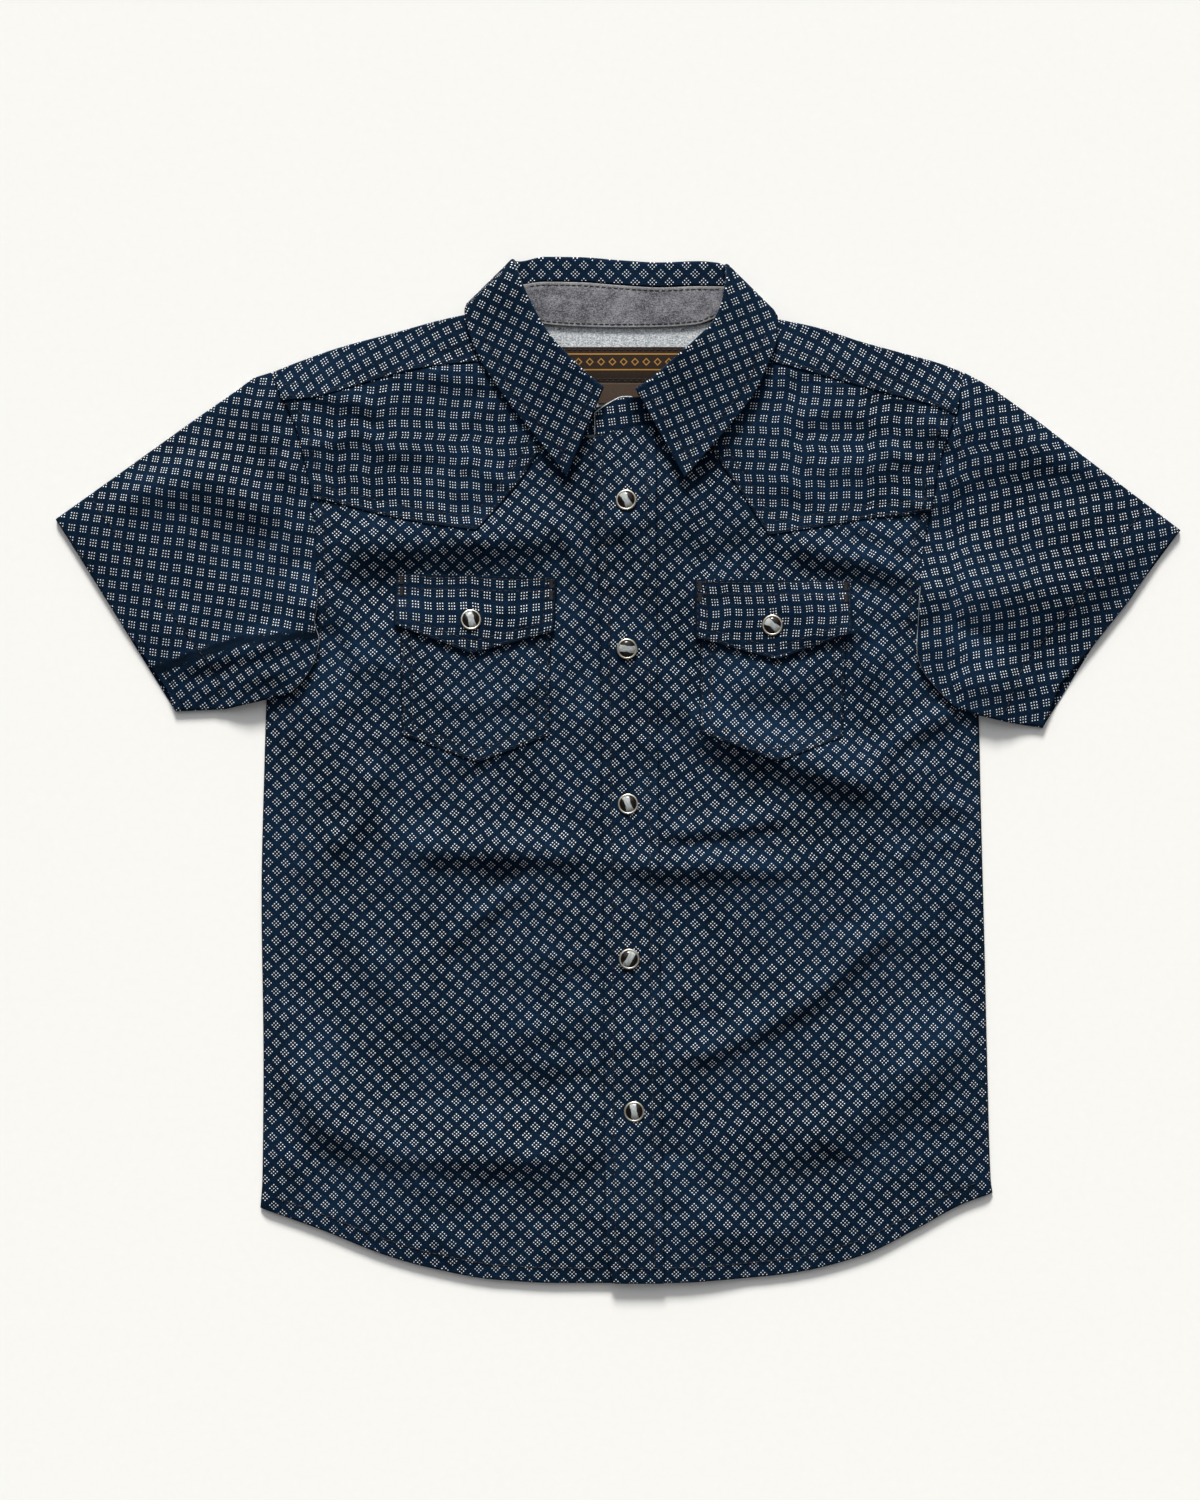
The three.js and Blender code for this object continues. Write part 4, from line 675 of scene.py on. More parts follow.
def cluster_mask(n, place):
    """Three rows of three dots in each repeat of the print."""
    wobble = n.add("ShaderNodeTexNoise", {"Vector": place, "Scale": 0.9, "Detail": 2.0}, out=1)
    shift = n.scaled(n.vector("SUBTRACT", wobble, (0.5, 0.5, 0.5)), DOT_WANDER)
    shifted = n.vector("ADD", place, shift)
    cell = n.vector("FRACTION", n.scaled(shifted, 1 / PITCH))
    local = n.scaled(n.vector("SUBTRACT", cell, (0.5, 0.5, 0.5)), PITCH)
    x, y, _ = n.split(local)
    offsets = []
    for value in (x, y):
        nearest = n.math("ROUND", n.math("DIVIDE", value, DOT_PITCH))
        kept = n.math("MAXIMUM", n.math("MINIMUM", nearest, 1.0), -1.0)
        offsets.append(n.math("SUBTRACT", value, n.math("MULTIPLY", kept, DOT_PITCH)))
    squared = [n.math("MULTIPLY", value, value) for value in offsets]
    away = n.math("SQRT", n.math("ADD", *squared))
    ragged = n.noise(place, 3.1, 2.0)
    radius = n.math("ADD", away, n.math("MULTIPLY", n.math("SUBTRACT", ragged, 0.5), DOT_RAGGED))
    return n.steps(radius, DOT_RADIUS - DOT_SOFT, DOT_RADIUS + DOT_SOFT, 1.0, 0.0)


def print_material():
    """The right side: navy with pale dots, worn pale along its edges, with painted shade as a thin dark
    line along every free edge.
    """
    n = Nodes("printed_poplin")
    place = n.cloth()
    mask = cluster_mask(n, place)
    weave = weave_height(n, place)
    broad = n.noise(place, 0.02, 3.0)
    fine = n.noise(place, 1.7, 3.0, 0.65)
    tone = n.math("ADD", n.math("MULTIPLY", broad, 0.3), n.math("MULTIPLY", fine, 0.7))
    ground = n.blend(n.steps(tone, 0.34, 0.66), rgb(1, 9, 19), rgb(19, 41, 64))
    yarn = n.blend(n.steps(weave, -0.9, 0.9, 0.0, 0.35), ground, rgb(2, 9, 18))
    patchy = n.steps(n.noise(place, 0.35, 3.0), 0.25, 0.7, 0.8, 1.0)
    _, _, edge = n.split(place)
    # Painted shade: the dots fade within 0.7 mm of a free edge, so the dark line of shade along the edge is
    # not broken by print.
    rim = n.steps(edge, 0.0, 0.7)
    ink = n.math("MULTIPLY", n.math("MULTIPLY", mask, patchy), rim)
    printed = n.blend(ink, yarn, rgb(250, 253, 255))
    worn = n.math("MULTIPLY", n.steps(edge, 0.0, 0.8, 0.08, 0.0), n.noise(place, 0.5, 3.0))
    colour = n.blend(worn, printed, rgb(70, 88, 116))
    # Painted shade: within about a millimetre of a free edge the colour darkens to near black, a painted
    # dark line that stands in for the shade at the cloth's edges.
    colour = n.blend(n.steps(edge, 0.1, 1.0, 0.7, 0.0), colour, rgb(0, 6, 12))
    creases = n.noise(place, 0.09, 5.0, 0.65)
    soft = n.bump(creases, 0.6, 0.0011)
    fuzz = n.bump(fine, 0.35, 0.00012, soft)
    normal = n.bump(weave, 0.5, 0.00005, fuzz)
    rough = n.steps(fine, 0.2, 0.8, 0.66, 0.86)
    return n.finish(
        Base_Color=colour, Roughness=rough, Normal=normal, Sheen_Weight=0.02, Sheen_Roughness=0.45,
        Sheen_Tint=rgb(150, 175, 215), Specular_IOR_Level=0.1, Specular_Tint=rgb(150, 195, 255),
    )


def reverse_material():
    """The wrong side: pale, with the print showing through."""
    n = Nodes("poplin_reverse")
    place = n.cloth()
    mask = cluster_mask(n, place)
    weave = weave_height(n, place)
    streaks = n.noise(n.vector("MULTIPLY", place, (0.5, 3.4, 1.0)), 1.0, 3.0, 0.7)
    fine = n.noise(place, 1.4, 3.0, 0.7)
    tone = n.math("ADD", n.math("MULTIPLY", streaks, 0.55), n.math("MULTIPLY", fine, 0.45))
    ground = n.blend(n.steps(tone, 0.36, 0.64), rgb(120, 129, 141), rgb(246, 248, 246))
    marked = n.blend(n.math("MULTIPLY", mask, 0.6), ground, rgb(70, 82, 102))
    yarn = n.blend(n.steps(weave, -0.9, 0.9, 0.0, 0.2), marked, rgb(84, 94, 108))
    soft = n.bump(n.noise(place, 0.12, 3.0), 0.4, 0.0007)
    normal = n.bump(weave, 0.5, 0.00006, soft)
    return n.finish(Base_Color=yarn, Roughness=0.85, Normal=normal, Specular_IOR_Level=0.25)


def chambray_material():
    n = Nodes("grey_chambray")
    place = n.cloth()
    across = n.noise(n.vector("MULTIPLY", place, (0.7, 5.5, 1.0)), 1.0, 3.0, 0.75)
    down = n.noise(n.vector("MULTIPLY", place, (5.5, 0.7, 1.0)), 1.0, 3.0, 0.75)
    both = n.math("MULTIPLY", n.math("ADD", across, down), 0.5)
    blotch = n.noise(place, 0.11, 3.0, 0.6)
    drift = n.math("ADD", both, n.math("MULTIPLY", n.math("SUBTRACT", blotch, 0.5), 0.22))
    colour = n.blend(n.steps(drift, 0.42, 0.6), rgb(44, 47, 58), rgb(172, 170, 174))
    _, _, edge = n.split(place)
    pale = n.steps(edge, 0.5, 1.4, 0.35, 0.0)
    edged = n.blend(pale, colour, rgb(186, 184, 182))
    weave = weave_height(n, place)
    yarn = n.blend(n.steps(weave, -0.9, 0.9, 0.0, 0.3), edged, rgb(42, 44, 52))
    normal = n.bump(n.math("ADD", both, n.math("MULTIPLY", weave, 0.3)), 0.7, 0.0003)
    return n.finish(Base_Color=yarn, Roughness=0.88, Normal=normal, Specular_IOR_Level=0.25)


def label_material(name, ground, ornament):
    """Damask label: satin ribs across, and a plain woven border with small diamonds if wanted."""
    n = Nodes(name)
    place = n.cloth()
    x, y, _ = n.split(place)
    ribs = n.math("SINE", n.math("MULTIPLY", y, 2 * math.pi / 0.5))
    fleck = n.noise(n.vector("MULTIPLY", place, (1.0, 4.0, 1.0)), 1.2, 3.0, 0.7)
    colour = n.blend(n.steps(fleck, 0.3, 0.7), rgb(*ground), rgb(*(min(255, c + 18) for c in ground)))
    if ornament:
        middle = (LABEL[1] + LABEL[3]) / 2
        rise = n.math("ABSOLUTE", n.math("SUBTRACT", y, middle + 1.2))
        lines = n.math("ABSOLUTE", n.math("SUBTRACT", rise, 3.6))
        border = n.steps(lines, 0.2, 0.36, 1.0, 0.0)
        share = n.math("FRACT", n.math("DIVIDE", x, 5.2))
        along_x = n.math("ABSOLUTE", n.math("SUBTRACT", share, 0.5))
        diamond = n.math("ADD", n.math("MULTIPLY", along_x, 5.2), rise)
        ring = n.math("ABSOLUTE", n.math("SUBTRACT", diamond, 1.5))
        motif = n.steps(ring, 0.22, 0.4, 1.0, 0.0)
        gold = n.math("MAXIMUM", border, motif)
        colour = n.blend(n.math("MULTIPLY", gold, 0.85), colour, rgb(*ornament))
    normal = n.bump(ribs, 0.15, 0.00005)
    return n.finish(Base_Color=colour, Roughness=0.75, Normal=normal, Specular_IOR_Level=0.15)


def thread_material(name, dark, light):
    n = Nodes(name)
    place = n.cloth()
    twist = n.noise(place, 3.0, 2.0)
    colour = n.blend(n.steps(twist, 0.3, 0.7), rgb(*dark), rgb(*light))
    normal = n.bump(twist, 0.4, 0.0001)
    return n.finish(Base_Color=colour, Roughness=0.7, Normal=normal)


def metal_material():
    n = Nodes("snap_ring_metal")
    place = n.cloth()
    grime = n.noise(place, 0.9, 3.0)
    colour = n.blend(n.steps(grime, 0.35, 0.7), rgb(246, 240, 228), rgb(224, 208, 180))
    rough = n.steps(grime, 0.3, 0.7, 0.26, 0.4)
    normal = n.bump(n.noise(place, 2.5, 2.0), 0.15, 0.00008)
    return n.finish(Base_Color=colour, Roughness=rough, Normal=normal, Metallic=1.0)


def cap_material():
    """Dark horn-like resin with a pale band across it."""
    n = Nodes("snap_cap_resin")
    place = n.cloth()
    x, y, _ = n.split(place)
    drift = n.math("MULTIPLY", n.math("SUBTRACT", n.noise(place, 0.32, 3.0), 0.5), 1.5)
    widening = n.math("MULTIPLY", n.math("ABSOLUTE", y), 0.16)
    off = n.math("SUBTRACT", n.math("ABSOLUTE", n.math("ADD", x, drift)), widening)
    band = n.steps(off, 1.0, 1.35, 1.0, 0.0)
    grain = n.noise(n.vector("MULTIPLY", place, (1.4, 0.5, 1.0)), 1.2, 4.0, 0.7)
    dark = n.blend(n.steps(grain, 0.4, 0.75), rgb(4, 4, 4), rgb(34, 27, 20))
    pale = n.blend(n.steps(grain, 0.3, 0.7), rgb(132, 138, 138), rgb(182, 186, 184))
    colour = n.blend(band, dark, pale)
    normal = n.bump(grain, 0.08, 0.0001)
    return n.finish(
        Base_Color=colour, Roughness=0.22, Normal=normal, Coat_Weight=0.25, Coat_Roughness=0.06,
        Specular_IOR_Level=0.3,
    )


def floor_material():
    n = Nodes("pale_paper")
    place = n.scaled(n.add("ShaderNodeNewGeometry"), 1000.0)
    grain = n.noise(place, 0.25, 4.0, 0.6)
    colour = n.blend(grain, rgb(243, 242, 238), rgb(247, 246, 242))
    normal = n.bump(grain, 0.1, 0.0002)
    return n.finish(Base_Color=colour, Roughness=0.95, Normal=normal, Specular_IOR_Level=0.1)


PRINT = print_material()
REVERSE = reverse_material()
CHAMBRAY = chambray_material()
LABEL_CLOTH = label_material("label_damask", (36, 25, 18), (184, 136, 66))
TAB_CLOTH = label_material("tab_damask", (66, 52, 42), None)
THREAD = thread_material("plum_thread", (6, 5, 10), (24, 18, 24))
METAL = metal_material()
CAP = cap_material()


# Meshes
def make_object(name, points, faces, cloth, materials, slots):
    mesh = bpy.data.meshes.new(name)
    mesh.from_pydata((np.asarray(points) * MM).tolist(), [], faces)
    data = mesh.attributes.new("cloth", "FLOAT_VECTOR", "POINT").data
    data.foreach_set("vector", np.asarray(cloth, np.float32).ravel())
    for material in materials:
        mesh.materials.append(material)
    mesh.polygons.foreach_set("material_index", np.asarray(slots, np.int32))
    mesh.shade_smooth()
    mesh.update()
    piece = bpy.data.objects.new(name, mesh)
    bpy.context.scene.collection.objects.link(piece)
    return piece


def seated(piece, nodes):
    """A piece on the shirt's one body, in the place of the solids that it shows."""
    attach(piece, "root")
    if nodes:
        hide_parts(*nodes)


def grid_normals(points, wrap):
    down = np.gradient(points, axis=0)
    if wrap:
        right = np.roll(points, -1, axis=1) - np.roll(points, 1, axis=1)
    else:
        right = np.gradient(points, axis=1)
    normal = np.cross(down, right)
    return normal / np.maximum(np.linalg.norm(normal, axis=2, keepdims=True), 1e-9)


def shell(name, outer, cloth, thickness, wrap=False, present=None, flip=False, inner=None):
    """Closed cloth wall under a grid of outer points, with rounded free edges.

    The inner side shows the reverse, or the print where inner is zero.
    """
    rows, columns = outer.shape[:2]
    cells = columns if wrap else columns - 1
    if present is None:
        present = np.ones((rows - 1, cells), bool)
    if wrap:
        kept = np.zeros((rows + 1, columns), bool)
        kept[1:-1] = present
        turned = np.roll(kept, 1, axis=1)
        inside = kept[:-1] & kept[1:] & turned[:-1] & turned[1:]
    else:
        kept = np.zeros((rows + 1, columns + 1), bool)
        kept[1:-1, 1:-1] = present
        inside = kept[:-1, :-1] & kept[1:, :-1] & kept[:-1, 1:] & kept[1:, 1:]
    deep = inside.copy()
    for shift, axis in ((1, 0), (-1, 0), (1, 1), (-1, 1)):
        moved = np.roll(inside, shift, axis)
        if axis == 0 or not wrap:
            index = 0 if shift == 1 else -1
            moved[(index, slice(None)) if axis == 0 else (slice(None), index)] = False
        deep &= moved
    full = np.where(deep, 1.0, np.where(inside, 0.85, 0.0))[..., None] * thickness / 2
    normal = grid_normals(outer, wrap) * (-1 if flip else 1)
    middle = outer - normal * thickness / 2
    top = (middle + normal * full).reshape(-1, 3)
    low = (middle - normal * full).reshape(-1, 3)
    count = rows * columns
    ids = np.arange(count).reshape(rows, columns)
    under = np.where(inside, ids + count, ids)
    if inner is None:
        inner = np.ones((rows, columns))
    faces, slots = [], []
    for i in range(rows - 1):
        for j in range(cells):
            if not present[i, j]:
                continue
            k = (j + 1) % columns
            upper = [ids[i, j], ids[i + 1, j], ids[i + 1, k], ids[i, k]]
            lower = [under[i, j], under[i, k], under[i + 1, k], under[i + 1, j]]
            if flip:
                upper.reverse()
                lower.reverse()
            faces += [upper, lower]
            slots += [0, int(inner[i, j])]
    points = np.concatenate([top, low])
    flat_cloth = np.tile(cloth.reshape(-1, 3), (2, 1))
    return compact(name, points, faces, slots, flat_cloth)


def compact(name, points, faces, slots, cloth, materials=None):
    """Leaves out points that no face uses."""
    used = np.zeros(len(points), bool)
    for face in faces:
        used[face] = True
    new_id = np.cumsum(used) - 1
    kept_faces = [[int(new_id[v]) for v in face] for face in faces]
    return make_object(name, points[used], kept_faces, cloth[used], materials or (PRINT, REVERSE), slots)


def inset(outline, amount):
    """Each corner of a closed outline moved inwards."""
    before = outline - np.roll(outline, 1, axis=0)
    after = np.roll(outline, -1, axis=0) - outline
    normals = []
    for edge in (before, after):
        size = np.maximum(np.hypot(edge[:, 0], edge[:, 1]), 1e-9)
        normals.append(np.stack([-edge[:, 1] / size, edge[:, 0] / size], 1))
    bisector = normals[0] + normals[1]
    lengths = np.maximum((bisector**2).sum(1), 0.35)
    return outline + bisector * (2 * amount / lengths)[:, None]


def signed_area(outline):
    x, y = outline.T
    return 0.5 * np.sum(x * np.roll(y, -1) - y * np.roll(x, -1))


def inside_outline(x, y, outline):
    found = np.zeros(x.shape, bool)
    for (ax, ay), (bx, by) in zip(outline, np.roll(outline, -1, axis=0)):
        if ay == by:
            continue
        crosses = (ay > y) != (by > y)
        found ^= crosses & (x < (bx - ax) * (y - ay) / (by - ay) + ax)
    return found


def patch(name, outline, top, thickness, grain, step=2.0, grooves=(), materials=None, face_down=False,
          folded=True):
    """Closed cloth wall inside an outline, with a rounded rim and soft grooves along its edge."""
    outline = np.asarray(outline, float)
    if signed_area(outline) < 0:
        outline = outline[::-1]
    closed = np.concatenate([outline, outline[:1]])
    groove_rings = [depth + shift for depth in grooves for shift in (-0.8, 0.0, 0.8)]
    rings = [0.15, ROUND, 1.1] + [ring for ring in groove_rings if ring > 1.5]
    extra = []
    for ring in rings:
        points = inset(outline, ring)
        away = distance(points[:, 0], points[:, 1], closed)
        ok = inside_outline(points[:, 0], points[:, 1], outline) & (away > ring * 0.9)
        extra.append(points[ok])
    low, high = outline.min(0), outline.max(0)
    gx, gy = np.meshgrid(np.arange(low[0], high[0], step), np.arange(low[1], high[1], step))
    gx[1::2] += step / 2
    gx, gy = gx.ravel(), gy.ravel()
    ok = inside_outline(gx, gy, outline)
    gx, gy = gx[ok], gy[ok]
    away = distance(gx, gy, closed)
    ok = away > 1.1 + step * 0.45
    for depth in grooves:
        ok &= np.abs(away - depth) > 0.8 + step * 0.3
    extra.append(np.stack([gx[ok], gy[ok]], 1))
    plan = np.concatenate([outline, *extra])
    corners = list(range(len(outline)))
    made = delaunay_2d_cdt([Vector(p) for p in plan.tolist()], [], [corners], 1, 1e-5)
    xy = np.array([tuple(p) for p in made[0]], float)
    triangles = [list(t) for t in made[2]]
    x, y = xy.T
    away = distance(x, y, closed)
    rim = away < 1e-4
    share = np.sqrt(1 - (1 - np.clip(away / ROUND, 0, 1)) ** 2)
    height = top(x, y)
    for depth in grooves:
        height = height - GROOVE_DEPTH * np.exp(-(((away - depth) / 0.7) ** 2))
    middle = height - thickness / 2
    upper = np.stack([x, y, middle + share * thickness / 2], 1)
    lower = np.stack([x, y, middle - share * thickness / 2], 1)
    count = len(x)
    u, v = cloth_place(x, y, grain, folded)
    cloth = np.tile(np.stack([u, v, away], 1), (2, 1))
    under = np.where(rim, np.arange(count), np.arange(count) + count)
    faces = triangles + [[int(under[v]) for v in face[::-1]] for face in triangles]
    slots = [1 if face_down else 0] * len(triangles) + [0 if face_down else 1] * len(triangles)
    points = np.concatenate([upper, lower])
    return compact(name, points, faces, slots, cloth, materials)


def spread(length, step, ends=(0.15, 0.45, 1.0)):
    """Places along a length with finer steps at both ends, as shares."""
    count = max(2, round((length - 2 * ends[-1]) / step))
    middle = np.linspace(ends[-1], length - ends[-1], count + 1)
    places = np.concatenate([[0.0], ends[:-1], middle, length - np.array(ends[-2::-1]), [length]])
    return places / length


# Heights of the outer faces
def side_drop(side, x, y):
    """How far the front curls down to the back at the side seam."""
    near = distance(x, y, SIDE_SEAM[side])
    return 1.25 * (1 - np.clip(near / 3.0, 0, 1)) ** 2


def front_top(side):
    def at(x, y):
        lap = lap_lift(x) if side == "left" else 0.0
        return front_bottom(x, y) + WALL + lap - side_drop(side, x, y)

    return at


def raised(base, lift):
    return lambda x, y: base(x, y) + lift


def flap_top(side):
    base = front_top(side)
    return lambda x, y: base(x, y) + 1.95 + FLAP_FLARE["rate"] * np.maximum(0, FLAP_FLARE["from"] - y)


TOP = {side: front_top(side) for side in ("right", "left")}
POCKET_LIFT = 0.8
YOKE_LIFT = 0.75
PLACKET_LIFT = 0.85


# Outlines of the pieces that lie flat
def edge_run(side, low, high, step=2.0):
    y = np.linspace(low, high, max(2, round(abs(high - low) / step)))
    return np.stack([edge_x[side](y), y], 1)


def front_outline(side):
    start, last = BODY_EDGE[side][0][1], FRONT_TOP[side][0][1]
    up = edge_run(side, start, last)
    if side == "right":
        free_x = UNDER_EDGE_X
        x = np.arange(FRONT_TOP[side][0][0] + 1.5, free_x, 1.5)
        over = np.stack([x, front_top_y[side](x)], 1)
        corner = [[free_x, front_top_y[side](free_x)]]
        y = np.arange(LAP_TOP[-1][1] - 2, hem_y(free_x) + 1, -2.0)
        down = np.stack([np.full(len(y), free_x), y], 1)
        x = np.arange(free_x, BODY_EDGE[side][0][0] + 1, -2.0)
    else:
        free_top = LAP_TOP[0]
        x = np.arange(FRONT_TOP[side][0][0] - 1.5, free_top[0], -1.5)
        over = np.stack([x, front_top_y[side](x)], 1)
        corner = [list(free_top)]
        y = np.arange(free_top[1] - 2, PLACKET_EDGE[0][1] + 1, -2.0)
        down = np.stack([placket_x(y), y], 1)
        x = np.arange(PLACKET_EDGE[0][0], BODY_EDGE[side][0][0] - 1, 2.0)
    hem = np.stack([x, hem_y(x)], 1)
    return np.concatenate([up, over, corner, down, hem])


def yoke_outline(side):
    foot = resampled(YOKE_FOOT[side], 1.5)
    top = [p for p in FRONT_TOP[side] if abs(p[0]) > abs(foot[-1][0]) + 1.0]
    start = YOKE_FOOT[side][0][1]
    arm = edge_run(side, FRONT_TOP[side][0][1], start, 2.0)[1:-1]
    return np.concatenate([foot, resampled(top[::-1], 1.5), arm])


def closed_outline(corners, step=1.6):
    return resampled(list(corners) + [corners[0]], step)[:-1]


def placket_outline():
    top_y = front_top_y["left"]
    y = np.arange(PLACKET_EDGE[0][1] + 0.2, LAP_TOP[0][1] - 1, 2.0)
    free = np.stack([placket_x(y) - 0.15, y], 1)
    x = np.arange(LAP_TOP[0][0], placket_seam_x(158.0), 1.5)
    over = np.stack([x, top_y(x)], 1)
    y = np.arange(158.0, hem_y(21.0), -2.0)
    seam = np.stack([placket_seam_x(y), y], 1)
    x = np.arange(21.0, PLACKET_EDGE[0][0] + 1, -2.0)
    hem = np.stack([x, hem_y(x) - 0.15], 1)
    return np.concatenate([free, over, seam, hem])


def back_outline():
    right = edge_run("right", BODY_EDGE["right"][0][1], BACK_SEAM[0][1])
    x = np.arange(BACK_SEAM[0][0] + 2, BACK_SEAM[-1][0], 2.0)
    top = np.stack([x, back_seam_y(x) - SEAM], 1)
    left = edge_run("left", BACK_SEAM[-1][1], BODY_EDGE["left"][0][1])
    x = np.arange(HEM[-1][0] - 2, HEM[0][0], -2.0)
    hem = np.stack([x, hem_y(x)], 1)
    return np.concatenate([right, top, left, hem])


def back_top(x, y):
    near = np.minimum(*(distance(x, y, SIDE_SEAM[side]) for side in ("right", "left")))
    rise = 0.5 * (1 - np.clip(near / 3, 0, 1)) ** 2
    return back_bottom(x, y) + back_crease(x, y) + CLOTH + rise


# The body
GROOVES = {"back": (7.0,), "yoke": (1.4, 6.0), "pocket": (1.4, 5.2), "flap": (1.3, 5.2), "placket": (4.4,)}
GRAIN = {
    "body": 45.8, "pocket": 43.8, "band": 8.0,
    "yoke": {"right": -0.3, "left": -2.0}, "flap": {"right": 1.0, "left": 2.0},
}

back = patch(
    "back_cloth", back_outline(), back_top, CLOTH, GRAIN["body"], step=2.6, grooves=GROOVES["back"],
    face_down=True,
)
seated(back, ["back"])

for side in ("right", "left"):
    front = patch(f"front_cloth_{side}", front_outline(side), TOP[side], CLOTH, GRAIN["body"])
    seated(front, [f"front_{side}"])
    yoke = patch(
        f"yoke_cloth_{side}", yoke_outline(side), raised(TOP[side], YOKE_LIFT), THICK["yoke"],
        GRAIN["yoke"][side], step=1.9, grooves=GROOVES["yoke"],
    )
    seated(yoke, [f"front_yoke_{side}"])
    pocket = patch(
        f"pocket_cloth_{side}", closed_outline(POCKET[side]), raised(TOP[side], POCKET_LIFT),
        THICK["pocket"], GRAIN["pocket"], step=1.9, grooves=GROOVES["pocket"],
    )
    seated(pocket, [f"pocket_{side}"])
    flap = patch(
        f"flap_cloth_{side}", closed_outline(FLAP[side]), flap_top(side), THICK["flap"],
        GRAIN["flap"][side], step=1.8, grooves=GROOVES["flap"],
    )
    seated(flap, [f"flap_{side}"])
placket_top = raised(TOP["left"], PLACKET_LIFT)
placket = patch(
    "placket_cloth", placket_outline(), placket_top, THICK["placket"], GRAIN["body"], step=1.8,
    grooves=GROOVES["placket"],
)
seated(placket, ["placket"])


# The back yoke: flat under the neck, folded over both shoulders to the forward seam
FOLD_RADIUS = 1.3
STRIP_PAST = 1.2
STRIP_ROWS = (1.8, 7.2)


def yoke_cloth():
    right, left = SHOULDER["right"], SHOULDER["left"]
    first, last = right[0][0], left[0][0]
    neck = {"right": right[-1][0], "left": left[-1][0]}
    inner = [0.3, 0.9, 2.0]
    wide = {
        "right": mix(first, neck["right"], spread(neck["right"] - first, 2.2)),
        "left": mix(neck["left"], last, spread(last - neck["left"], 2.2)),
    }
    middle = np.arange(neck["right"] + inner[-1], neck["left"] - inner[-1], 2.2)
    near = [neck["right"] + d for d in inner[:2]] + list(middle) + [neck["left"] - d for d in inner[1::-1]]
    x0 = np.concatenate([wide["right"], near, wide["left"]])
    kind = np.array([-1] * len(wide["right"]) + [0] * len(near) + [1] * len(wide["left"]))
    left_or_neck = np.where(kind > 0, shoulder_y["left"](x0), back_neck_y(x0))
    top = np.where(kind < 0, shoulder_y["right"](x0), left_or_neck)
    seam_x, seam_y = x0.copy(), top.copy()
    for sign, side in ((-1, "right"), (1, "left")):
        rows = FRONT_TOP[side][:SHOULDER_ROWS]
        at = kind == sign
        outward = (x0[at] - neck[side]) / (SHOULDER[side][0][0] - neck[side])
        seam_x[at] = mix(rows[-1][0], rows[0][0], outward)
        seam_y[at] = front_top_y[side](seam_x[at])
    end = np.where(kind == 0, top, top - FOLD_RADIUS)
    share = (x0 - first) / (last - first)
    grid, cloth = [], []
    seam_line = back_seam_y(x0) + SEAM
    for t in spread(70.0, 2.4):
        y = mix(seam_line, end, t)
        shift = mix(edge_x["right"](y), edge_x["left"](y), share) - mix(first, last, share)
        x = x0 + shift
        grid.append(np.stack([x, y, back_bottom(x, y) + 0.6 * back_crease(x, y)], 1))
        cloth.append(np.stack([x, y, np.full(len(x), 9.0)], 1))
    back_rows = len(grid) - 1
    low_z = grid[-1][:, 2]
    strip_z = front_bottom(x0, end) + WALL + 0.3
    for angle in np.linspace(-90, 90, 9)[1:]:
        a = math.radians(angle)
        y = end + np.where(kind == 0, 0.0, FOLD_RADIUS * math.cos(a))
        z = mix(low_z, strip_z, 0.5 + 0.5 * math.sin(a))
        grid.append(np.stack([x0, y, z], 1))
        cloth.append(np.stack([x0, end + FOLD_RADIUS * a + 2.0, np.full(len(x0), 9.0)], 1))
    fold_v = cloth[-1][:, 1]
    slope = np.where(kind < 0, 0.26, -0.26)
    fold_angle = np.arctan(slope)
    for t in spread(24.0, 1.7)[1:]:
        x = mix(x0, seam_x, t)
        y = mix(end, seam_y - STRIP_PAST, t)
        z = front_bottom(x, y) + WALL + mix(0.3, 1.35, smooth(t * 1.4))
        from_seam = (1 - t) * 23
        for row in STRIP_ROWS:
            z = z - 0.2 * np.exp(-(((from_seam - row) / 0.8) ** 2))
        grid.append(np.stack([x, y, z], 1))
        dx, dy = x - x0, y - end
        along_fold = dx * np.cos(fold_angle) + dy * np.sin(fold_angle)
        across_fold = -dx * np.sin(fold_angle) + dy * np.cos(fold_angle)
        u = x0 + along_fold * np.cos(fold_angle) + across_fold * np.sin(fold_angle)
        v = fold_v + along_fold * np.sin(fold_angle) - across_fold * np.cos(fold_angle)
        cloth.append(np.stack([u, v, np.full(len(x), from_seam)], 1))
    present = np.ones((len(grid) - 1, len(x0) - 1), bool)
    open_cell = (kind[:-1] == 0) | (kind[1:] == 0)
    present[back_rows:, open_cell] = False
    return shell("back_yoke_cloth", np.array(grid), np.array(cloth), CLOTH, present=present)


seated(yoke_cloth(), ["back_yoke"])


# Sleeves: flattened tubes, folded at the shoulder and under the arm
TUBE_ROUND = 1.4
SLEEVE_HEM = 19.0
SLEEVE_GRAIN = {"right": -8.0, "left": 11.0}
UNDERARM_GRAIN = {"right": 36.0, "left": -6.0}
UNDERARM_CREASE = {
    "right": [(-212.0, 46.5), (-174.0, 59.5), (-138.0, 62.0)],
    "left": [(140.0, 40.0), (170.0, 33.0), (200.0, 30.0)],
}


def outside_body(side, x, y):
    away = distance(x, y, BODY_EDGE[side])
    inward = x - edge_x[side](y) if side == "right" else edge_x[side](y) - x
    return np.where(inward > 0, -away, away)


def sleeve_bottom(side, x, y):
    lift = SLEEVE_LIFT
    near = smooth((lift["far"] - outside_body(side, x, y)) / (lift["far"] - lift["near"]))
    low = smooth((lift["y_none"] - y) / (lift["y_none"] - lift["y_full"]))
    return near * low * (front_bottom(x, y) + LAYER + lift["slack"])


def sleeve_top(side, x, y):
    low = sleeve_bottom(side, x, y)
    return np.maximum(front_bottom(x, y), low + np.where(low > 0.01, LAYER + SEAM, LAYER)) + WALL


